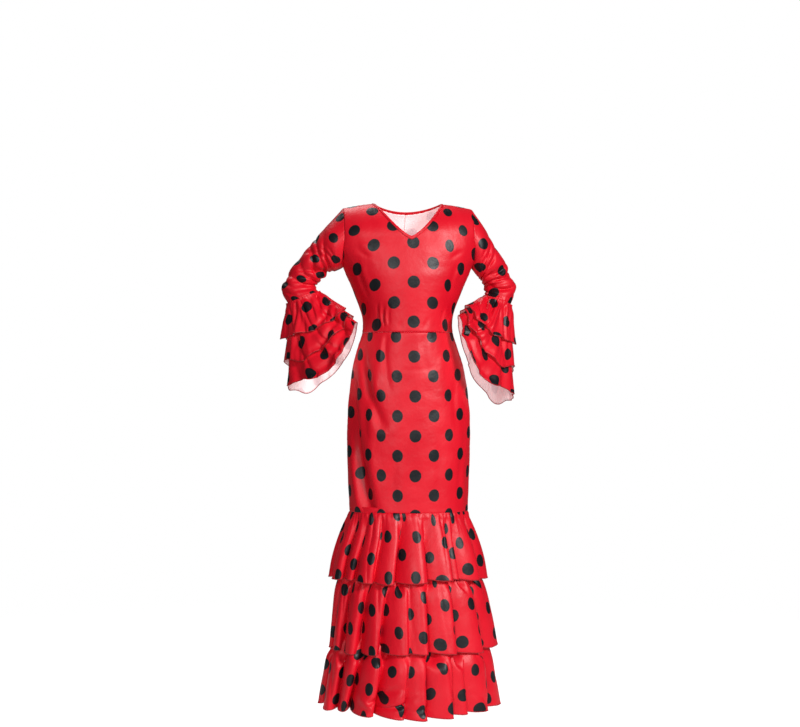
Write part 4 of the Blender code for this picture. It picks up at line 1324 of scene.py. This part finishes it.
cuffLook = dict(
    columns=240, rows=30, deepen=1.6, broad=0.4, broadWidth=2.0, narrow=1.0, fill=3.0, onset=0.8, small=30,
    smallDepth=1.2, folds=10, foldDepth=5.0, ownDepth=1.2, skew=0.5, flutter=1.6, hemWaves=24,
    hemUneven=0.022, tight=0.85, tightReach=35, turns=(0.0, 21.0, 8.0), step=0.45, room=2.6, seamShare=0.12,
    bellStart=0.55,
)
cutNames = "radius flat grain printX printY fullness length"
cuffCuts = {
    "right": records(
        cutNames,
        (95.0, (0.34, 0.095), -3.2, 74.8, 74.8, 1.08, 1.02),
        (110.0, (0.40, 0.12), 6.5, 18.2, 42.9, 1.04, 1.03),
        (120.0, (0.42, 0.16), 8.7, 30.0, 36.7, 1.11, 1.05),
    ),
    "left": records(
        cutNames,
        (95.0, (0.34, 0.095), 17.2, 77.3, 7.9, 1.10, 1.07),
        (110.0, (0.40, 0.12), -10.0, 28.3, 51.6, 1.13, 1.07),
        (120.0, (0.42, 0.16), 22.3, 34.8, 19.6, 1.09, 1.07),
    ),
}
# Drag lines towards the hand, in degrees round the cuff and hundredths of its length
dragCreases = table(
    creaseNames,
    (10, -34, 100, -54, 4, 6),
    (14, -52, 122, -74, 4, 6.5),
    (24, -72, 134, -96, 4.5, 5.5),
    (44, -3, 62, -40, 4, 5),
    (84, -3, 76, -48, 4.5, 5.5),
    (122, -4, 138, -64, 5, 5.5),
    (160, -20, 150, -90, 5, 3.5),
    (206, -10, 196, -80, 5, 3.5),
    (262, -5, 250, -70, 5, 3.5),
    (330, -20, 280, -60, 4.5, 3.5),
)


def cuffReach(layer, phi):
    reach = cuffLayers["reach"][layer] + cuffLayers["atHand"][layer] * ((1 + np.cos(phi)) / 2) ** 2
    uneven = np.sin(3 * phi + 1.7 * layer) + 0.7 * np.sin(5 * phi + 2.9 * layer)
    uneven = uneven + 0.5 * np.sin(9 * phi + layer)
    return reach * (1 + cuffLook["hemUneven"] * uneven)


# The bell that a cuff's layers follow, from the seam to the hem
def bellPoint(name, phi, down):
    arm = armSections[name]
    seam = cuffSeam(arm, phi)
    axis = armAxis(arm)
    parts = ("middle", "hand", "front", "sag")
    middle, hand, front, sag = (np.array(cuffHems[name][part], float) for part in parts)
    sin = np.sin(phi)[..., None]
    hem = middle + hand * np.cos(phi)[..., None] + front * sin + sag * sin**2
    span = hem - seam
    leaving = axis * np.linalg.norm(span, axis=-1, keepdims=True) * cuffLook["bellStart"]
    return hermite(down[..., None], seam, hem, leaving, span) + axis * body["seam"]


def cuffLift(name, layer, phi, down):
    awayFromHand = (1 - np.cos(phi)) / 2
    part = np.clip(down / cuffReach(layer, phi), 0, 1)
    own = cuffLayers["lift"][layer] + cuffHems[name]["outer"] * cuffLayers["outerLift"][layer] * awayFromHand
    step = body["wall"] + cuffLook["step"]
    deep = valleyDepth(cuffValleys, np.degrees(phi) + cuffLook["turns"][layer], part, cuffLook)
    free = (2 - layer) * step + own * ease(part) - deep
    if layer == 2:
        return free
    below = cuffLift(name, layer + 1, phi, down) + step + cuffLook["room"] * ease(part * 3)
    return -least(-free, -below, cuffLook["room"] * ease(part * 2) + 0.01)


# The folds of the three layers lie on each other, and each layer adds some of its own.  The cloth is drawn
# tight over the inner side of the arm.
def cuffPoint(name, layer, phi, down):
    side = sides[name]
    bell = functools.partial(bellPoint, name)
    normal = normalsOf(bell, phi, down, turnStep, downStep, -side)
    nearSeam = ease(1 - down / cuffLook["seamShare"])[..., None]
    normal = unit(normal * (1 - nearSeam) + seamWayOut(armSections[name], phi) * nearSeam)
    angle = np.degrees(phi)
    part = np.clip(down / cuffReach(layer, phi), 0, 1)
    seed = 110 + side
    small = pleated(angle, cuffLook["small"], seed) - 1
    folds = pleated(angle + 40 * down, cuffLook["folds"], seed + 4) ** 0.8 - 0.8
    own = pleated(angle - 25 * down, cuffLook["folds"] + 4, seed + 10 * layer + 11)
    flutter = pleated(angle, cuffLook["hemWaves"], seed + 10 * layer + 6) - 0.3
    around = angle % 360 if side < 0 else (angle + 8) % 360
    relief = cuffLook["smallDepth"] * small * np.exp(-down / 0.06)
    relief = relief + cuffLook["foldDepth"] * folds * slowly(angle, seed + 5, 0.25, 1.0) * ease(down / 0.15)
    relief = relief + (2 - layer) * cuffLook["ownDepth"] / 2 * own * ease(part / 0.4)
    relief = relief + creased(dragCreases, around, -100 * down) * ease(down / 0.1)
    relief = relief + cuffLook["flutter"] * flutter * ease((part - 0.85) / 0.15)
    tight = 1 - cuffLook["tight"] * bump(turnBetween(angle, 0), cuffLook["tightReach"])
    lift = cuffLift(name, layer, phi, down) + relief * tight
    return bell(phi + cuffLook["skew"] * lift * part / 60, down) + normal * lift[..., None]


def makeCuff(name):
    phi = ringOfAngles(cuffLook["columns"])
    for layer, cut in enumerate(cuffCuts[name]):
        downs = stations(cuffLook["rows"], 0.3)[:, None] * cuffReach(layer, phi)[None, :]
        phis = np.broadcast_to(phi, downs.shape)
        surface = functools.partial(cuffPoint, name, layer)
        points = surface(phis, downs)
        normals = normalsOf(surface, phis, downs, turnStep, downStep, -sides[name])
        normals[0] = seamWayOut(armSections[name], phi)
        flat = flatStrip(points, cuffLook["rows"] * 2 // 3, cut)
        node = f"sleeve_{name}_ruffle_{layer + 1}"
        cut = dict(cut, held="gathered", restsOn="sleeve_" + name)
        makeSheet(node, points, normals, flat, True, cut)
        hems.append((node, points[-1], normals[-1]))


for sleeveName in sides:
    makeSleeve(sleeveName)
    makeCuff(sleeveName)
print("sleeves made")

# The narrow band that binds the neckline, folded over the edge and stitched down
binding = dict(
    width=6.0, swell=0.35, crown=0.7, thickness=1.0, endGap=0.1, rows=9, columns=46, flat=(0.44, 0.012),
    area=0.0031, held="stretched", restsOn="bodice_front bodice_back_left bodice_back_right",
)
# The lapped strip over the closing at the centre back
placket = dict(
    width=18.0, lap=5.0, foot=-371.0, topShort=11.0, gap=0.5, thickness=0.9, rows=120, columns=10,
    edgeDrop=0.5, edgeWidth=1.2, printX=31.0, printY=5.0, flat=(0.019, 0.365), held="laid",
    restsOn="bodice_back_left bodice_back_right",
)
stitchLift = 0.1


# The neckline from the wearer's right half of the centre back round the front to the left half
def neckLine(margin):
    shares = np.linspace(0, 1, binding["columns"])
    path = [(share, False) for share in shares[:-1]] + [(share, True) for share in shares[::-1]]
    places = []
    for side, half in ((-1, path), (1, path[-2::-1])):
        for share, front in half:
            x = (body["neckHalf"] + margin) * share
            rise = neckRise(x, front, margin)
            places.append((thetaAt(x, rise, front, side), rise))
    return np.array(places).T


def makeBinding():
    shares = np.linspace(1, 0, binding["rows"])
    thetas, rises = np.moveaxis(np.array([neckLine(binding["width"] * share) for share in shares]), 1, 0)
    normals = bodyNormals(thetas, rises)
    offset = binding["swell"] + binding["crown"] * np.sqrt(np.maximum(0.0, 1 - (2 * shares - 1) ** 2))
    points = bodyPoint(thetas, rises) + normals * offset[:, None, None]
    points[:, 0, 0] = -binding["endGap"]
    points[:, -1, 0] = binding["endGap"]
    flat = np.stack([lengthFrom(points, 1), lengthFrom(points)], axis=-1)
    makeSheet("neck_binding", points, normals, flat, False, binding, binding["thickness"], plainCloth)
    line = points[2] + normals[2] * stitchLift
    stitching.append(("neck_binding", "neck_topstitch", line[2:-2], normals[2][2:-2]))


def makePlacket():
    highest = float(neckRise(np.array([0.0]), False, body["bindingWidth"] + placket["topShort"])[0])
    levels = placket["foot"] + (highest - placket["foot"]) * np.linspace(0, 1, placket["rows"])
    offsets = np.linspace(-placket["lap"], placket["width"] - placket["lap"], placket["columns"])
    offsets, levels = np.meshgrid(offsets, levels)
    thetas = thetaAt(np.abs(offsets), levels, False, np.sign(offsets))
    normals = bodyNormals(thetas, levels)
    edge = np.minimum(offsets + placket["lap"], placket["width"] - placket["lap"] - offsets)
    lift = placket["gap"] + placket["thickness"] - placket["edgeDrop"] * bump(edge, placket["edgeWidth"])
    points = bodyPoint(thetas, levels) + normals * lift[..., None]
    far = edgeDistances(points)
    ripples = 0.25 * np.sin(far["first"] / 4.2 + 1.3 * np.sin(far["first"] / 13))
    points = points + normals * (ripples * np.exp(-np.minimum(far["left"], far["right"]) / 4))[..., None]
    flat = cutPoint(far["left"], far["first"], placket)
    makeSheet("back_placket", points, normals, flat, False, placket, placket["thickness"])
    for column, label in ((1, "outer"), (-2, "inner")):
        way = normals[3:-2, column]
        line = points[3:-2, column] + way * stitchLift
        stitching.append(("back_placket", "placket_topstitch_" + label, line, way))


makeBinding()
makePlacket()
print("binding and placket made")

# The path's own socket is the first
threadSockets = dict(
    geometry="Geometry", spacing="Float", stitch="Float", radius="Float", lift="Float", slant="Float",
    roll="Float", rollStep="Float", rolled="Bool", material="Material",
)


# Thread that follows a path: single stitches in a row, or an overlocked edge with its wraps
def threadTree():
    tree = bpy.data.node_groups.new("threadAlongPath", "GeometryNodeTree")
    for name, kind in threadSockets.items():
        tree.interface.new_socket(name=name, socket_type="NodeSocket" + kind, in_out="INPUT")
    tree.interface.new_socket(name="geometry", socket_type="NodeSocketGeometry", in_out="OUTPUT")
    add = functools.partial(addNode, tree)
    given = add("NodeGroupInput").outputs
    curve = add("GeometryNodeMeshToCurve", {}, {"Mesh": given["geometry"]})
    byLength = {"mode": "LENGTH"}
    spaced = add("GeometryNodeResampleCurve", byLength, {"Curve": curve, "Length": given["spacing"]})
    fine = add("GeometryNodeResampleCurve", byLength, {"Curve": curve, "Length": given["rollStep"]})
    ends = []
    for share in (-0.5, 0.5):
        along = add("ShaderNodeMath", {"operation": "MULTIPLY"}, {0: given["stitch"], 1: share})
        ends.append(add("ShaderNodeCombineXYZ", {}, {"X": along}))
    line = add("GeometryNodeCurvePrimitiveLine", {}, {"Start": ends[0], "End": ends[1]})
    tubes = []
    for path, corners, radius in ((line, 5, "radius"), (fine, 6, "roll")):
        circle = add("GeometryNodeCurvePrimitiveCircle", {}, {"Resolution": corners, "Radius": given[radius]})
        inputs = {"Curve": path, "Profile Curve": circle, "Fill Caps": True}
        tubes.append(add("GeometryNodeCurveToMesh", {}, inputs))
    turned = add("ShaderNodeCombineXYZ", {}, {"Z": given["slant"]})
    raised = add("ShaderNodeCombineXYZ", {}, {"Z": given["lift"]})
    inputs = {"Geometry": tubes[0], "Rotation": turned, "Translation": raised}
    placed = add("GeometryNodeTransform", {}, inputs)
    tangent = add("GeometryNodeInputTangent")
    outward = add("GeometryNodeInputNamedAttribute", {"data_type": "FLOAT_VECTOR"}, {"Name": "outward"})
    along = add("FunctionNodeAlignRotationToVector", {"axis": "X"}, {"Vector": tangent})
    inputs = {"Rotation": along, "Vector": outward}
    upright = add("FunctionNodeAlignRotationToVector", {"axis": "Z", "pivot_axis": "X"}, inputs)
    inputs = {"Points": spaced, "Instance": placed, "Rotation": upright}
    stitches = add("GeometryNodeInstanceOnPoints", {}, inputs)
    inputs = {"Switch": given["rolled"], "True": tubes[1]}
    chosen = add("GeometryNodeSwitch", {"input_type": "GEOMETRY"}, inputs)
    joined = add("GeometryNodeJoinGeometry")
    for part in (stitches, chosen):
        tree.links.new(part.outputs[0], joined.inputs[0])
    real = add("GeometryNodeRealizeInstances", {}, {"Geometry": joined})
    smooth = add("GeometryNodeSetShadeSmooth", {}, {"Geometry": real})
    coloured = add("GeometryNodeSetMaterial", {}, {"Geometry": smooth, "Material": given["material"]})
    add("NodeGroupOutput", {}, {"geometry": coloured})
    return tree


threadAlongPath = threadTree()
hemLook = dict(
    spacing=1.9 * mm, stitch=2.3 * mm, radius=0.24 * mm, lift=0.62 * mm, slant=math.radians(68),
    roll=0.75 * mm, rollStep=2.4 * mm, rolled=True, material=spunThread,
)
topstitchLook = dict(
    hemLook, spacing=3.0 * mm, stitch=2.2 * mm, radius=0.25 * mm, lift=0.15 * mm, slant=0.0, rolled=False,
)


def threadOn(name, path, outward, closed, look):
    count = len(path)
    edges = [(i, (i + 1) % count) for i in range(count if closed else count - 1)]
    mesh = bpy.data.meshes.new(name)
    mesh.from_pydata([tuple(p) for p in path * mm], edges, [])
    attribute = mesh.attributes.new("outward", "FLOAT_VECTOR", "POINT")
    attribute.data.foreach_set("vector", outward.astype(np.float32).ravel())
    guide = addObject(name + "_guide", mesh)
    modifier = guide.modifiers.new("thread", "NODES")
    modifier.node_group = threadAlongPath
    for item in threadAlongPath.interface.items_tree:
        if item.in_out == "INPUT" and item.name in look:
            modifier[item.identifier] = look[item.name]
    evaluated = guide.evaluated_get(bpy.context.evaluated_depsgraph_get())
    result = bpy.data.meshes.new_from_object(evaluated)
    bpy.data.objects.remove(guide)
    result.name = name
    made = addObject(name, result)
    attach(made, "root")


def makeThreads():
    for node, path, outward in hems:
        path = path - outward * (clothThickness / 2)
        threadOn(node + "_overlocked_hem", path, outward, True, hemLook)
    for node, name, path, outward in stitching:
        threadOn(name, path, outward, False, topstitchLook)


makeThreads()
print("threads made")

# The camera's turn is in degrees; its places and the lights' are metres, the lens and the sensor millimetres
cameraLook = dict(turn=-6.0, aim=(-0.0154, 0.0, -0.327), distance=4.0, lens=87.8, sensor=36.0)
# The light behind has no highlights: they would draw a white rim that melts into the white room
lights = records(
    "name place aim size power shines",
    ("key", (1.9, -3.2, 1.2), (0.0, 0.0, -0.4), 1.0, 143.0, True),
    ("fill", (-1.1, -3.5, 0.4), (0.0, 0.0, -0.5), 1.0, 40.0, True),
    ("above", (-0.8, 1.9, 2.6), (0.0, 0.0, -0.4), 2.0, 60.0, True),
    ("back", (0.4, 3.6, 0.8), (0.0, 0.0, -0.5), 2.0, 32.0, False),
)
white = (1.0, 1.0, 1.0, 1.0)
roomFill = 0.08
floorLook = dict(radius=2.0, corners=96, below=0.001, fadeStart=0.3, fadeEnd=1.9, strength=0.4, glow=0.85)


def makeCamera():
    data = bpy.data.cameras.new("camera")
    data.lens = cameraLook["lens"]
    data.sensor_width = cameraLook["sensor"]
    camera = addObject("camera", data)
    turn = math.radians(cameraLook["turn"])
    away = np.array([math.sin(turn), -math.cos(turn), 0.0]) * cameraLook["distance"]
    camera.location = np.array(cameraLook["aim"]) + away
    camera.rotation_euler = (quarter, 0, turn)
    bpy.context.scene.camera = camera


def makeLights():
    for look in lights:
        data = bpy.data.lights.new(look["name"], "AREA")
        data.shape = "DISK"
        data.size = look["size"]
        data.energy = look["power"]
        light = addObject(look["name"], data)
        light.location = look["place"]
        way = np.array(look["place"]) - np.array(look["aim"])
        tilt = math.acos(way[2] / np.linalg.norm(way))
        light.rotation_euler = (tilt, 0, math.atan2(way[1], way[0]) + quarter)
        light.visible_glossy = look["shines"]


# The camera sees a white room, which lights the dress only a little
def makeRoom():
    world = bpy.data.worlds.new("studio")
    world.use_nodes = True
    world.node_tree.nodes.clear()
    add = functools.partial(addNode, world.node_tree)
    seen = add("ShaderNodeBackground", {}, {"Color": white, "Strength": 1.0})
    fill = add("ShaderNodeBackground", {}, {"Color": white, "Strength": roomFill})
    mix = add("ShaderNodeMixShader", {}, {0: add("ShaderNodeLightPath"), 1: fill, 2: seen})
    add("ShaderNodeOutputWorld", {}, {"Surface": mix})
    bpy.context.scene.world = world
    bpy.context.scene.view_settings.view_transform = "Standard"


# A pale, matt floor that fades into the white room round it
def paleFloor(tree):
    add = functools.partial(addNode, tree)
    place = add("ShaderNodeTexCoord").outputs["Object"]
    level = add("ShaderNodeVectorMath", {"operation": "MULTIPLY"}, {0: place, 1: (1.0, 1.0, 0.0)})
    reach = add("ShaderNodeVectorMath", {"operation": "LENGTH"}, {0: level}).outputs["Value"]
    fade = {"From Min": floorLook["fadeStart"], "From Max": floorLook["fadeEnd"]}
    fade.update({"Value": reach, "To Min": floorLook["strength"], "To Max": 0.0})
    return {
        "Base Color": linear("#F8F8F8"),
        "Roughness": 0.8,
        "Specular IOR Level": 0.2,
        "Emission Color": white,
        "Emission Strength": floorLook["glow"],
        "Alpha": add("ShaderNodeMapRange", {"interpolation_type": "SMOOTHSTEP"}, fade),
    }


def makeFloor():
    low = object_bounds()[0][2] - floorLook["below"]
    mesh = bpy.data.meshes.new("floor")
    radius = floorLook["radius"]
    turns = ringOfAngles(floorLook["corners"])
    corners = [(radius * math.cos(turn), radius * math.sin(turn), low) for turn in turns]
    mesh.from_pydata(corners, [], [tuple(range(len(corners)))])
    mesh.materials.append(newMaterial("paleStudioFloor", paleFloor))
    addObject("floor", mesh)


makeCamera()
makeRoom()
makeLights()
makeFloor()
print("studio made")
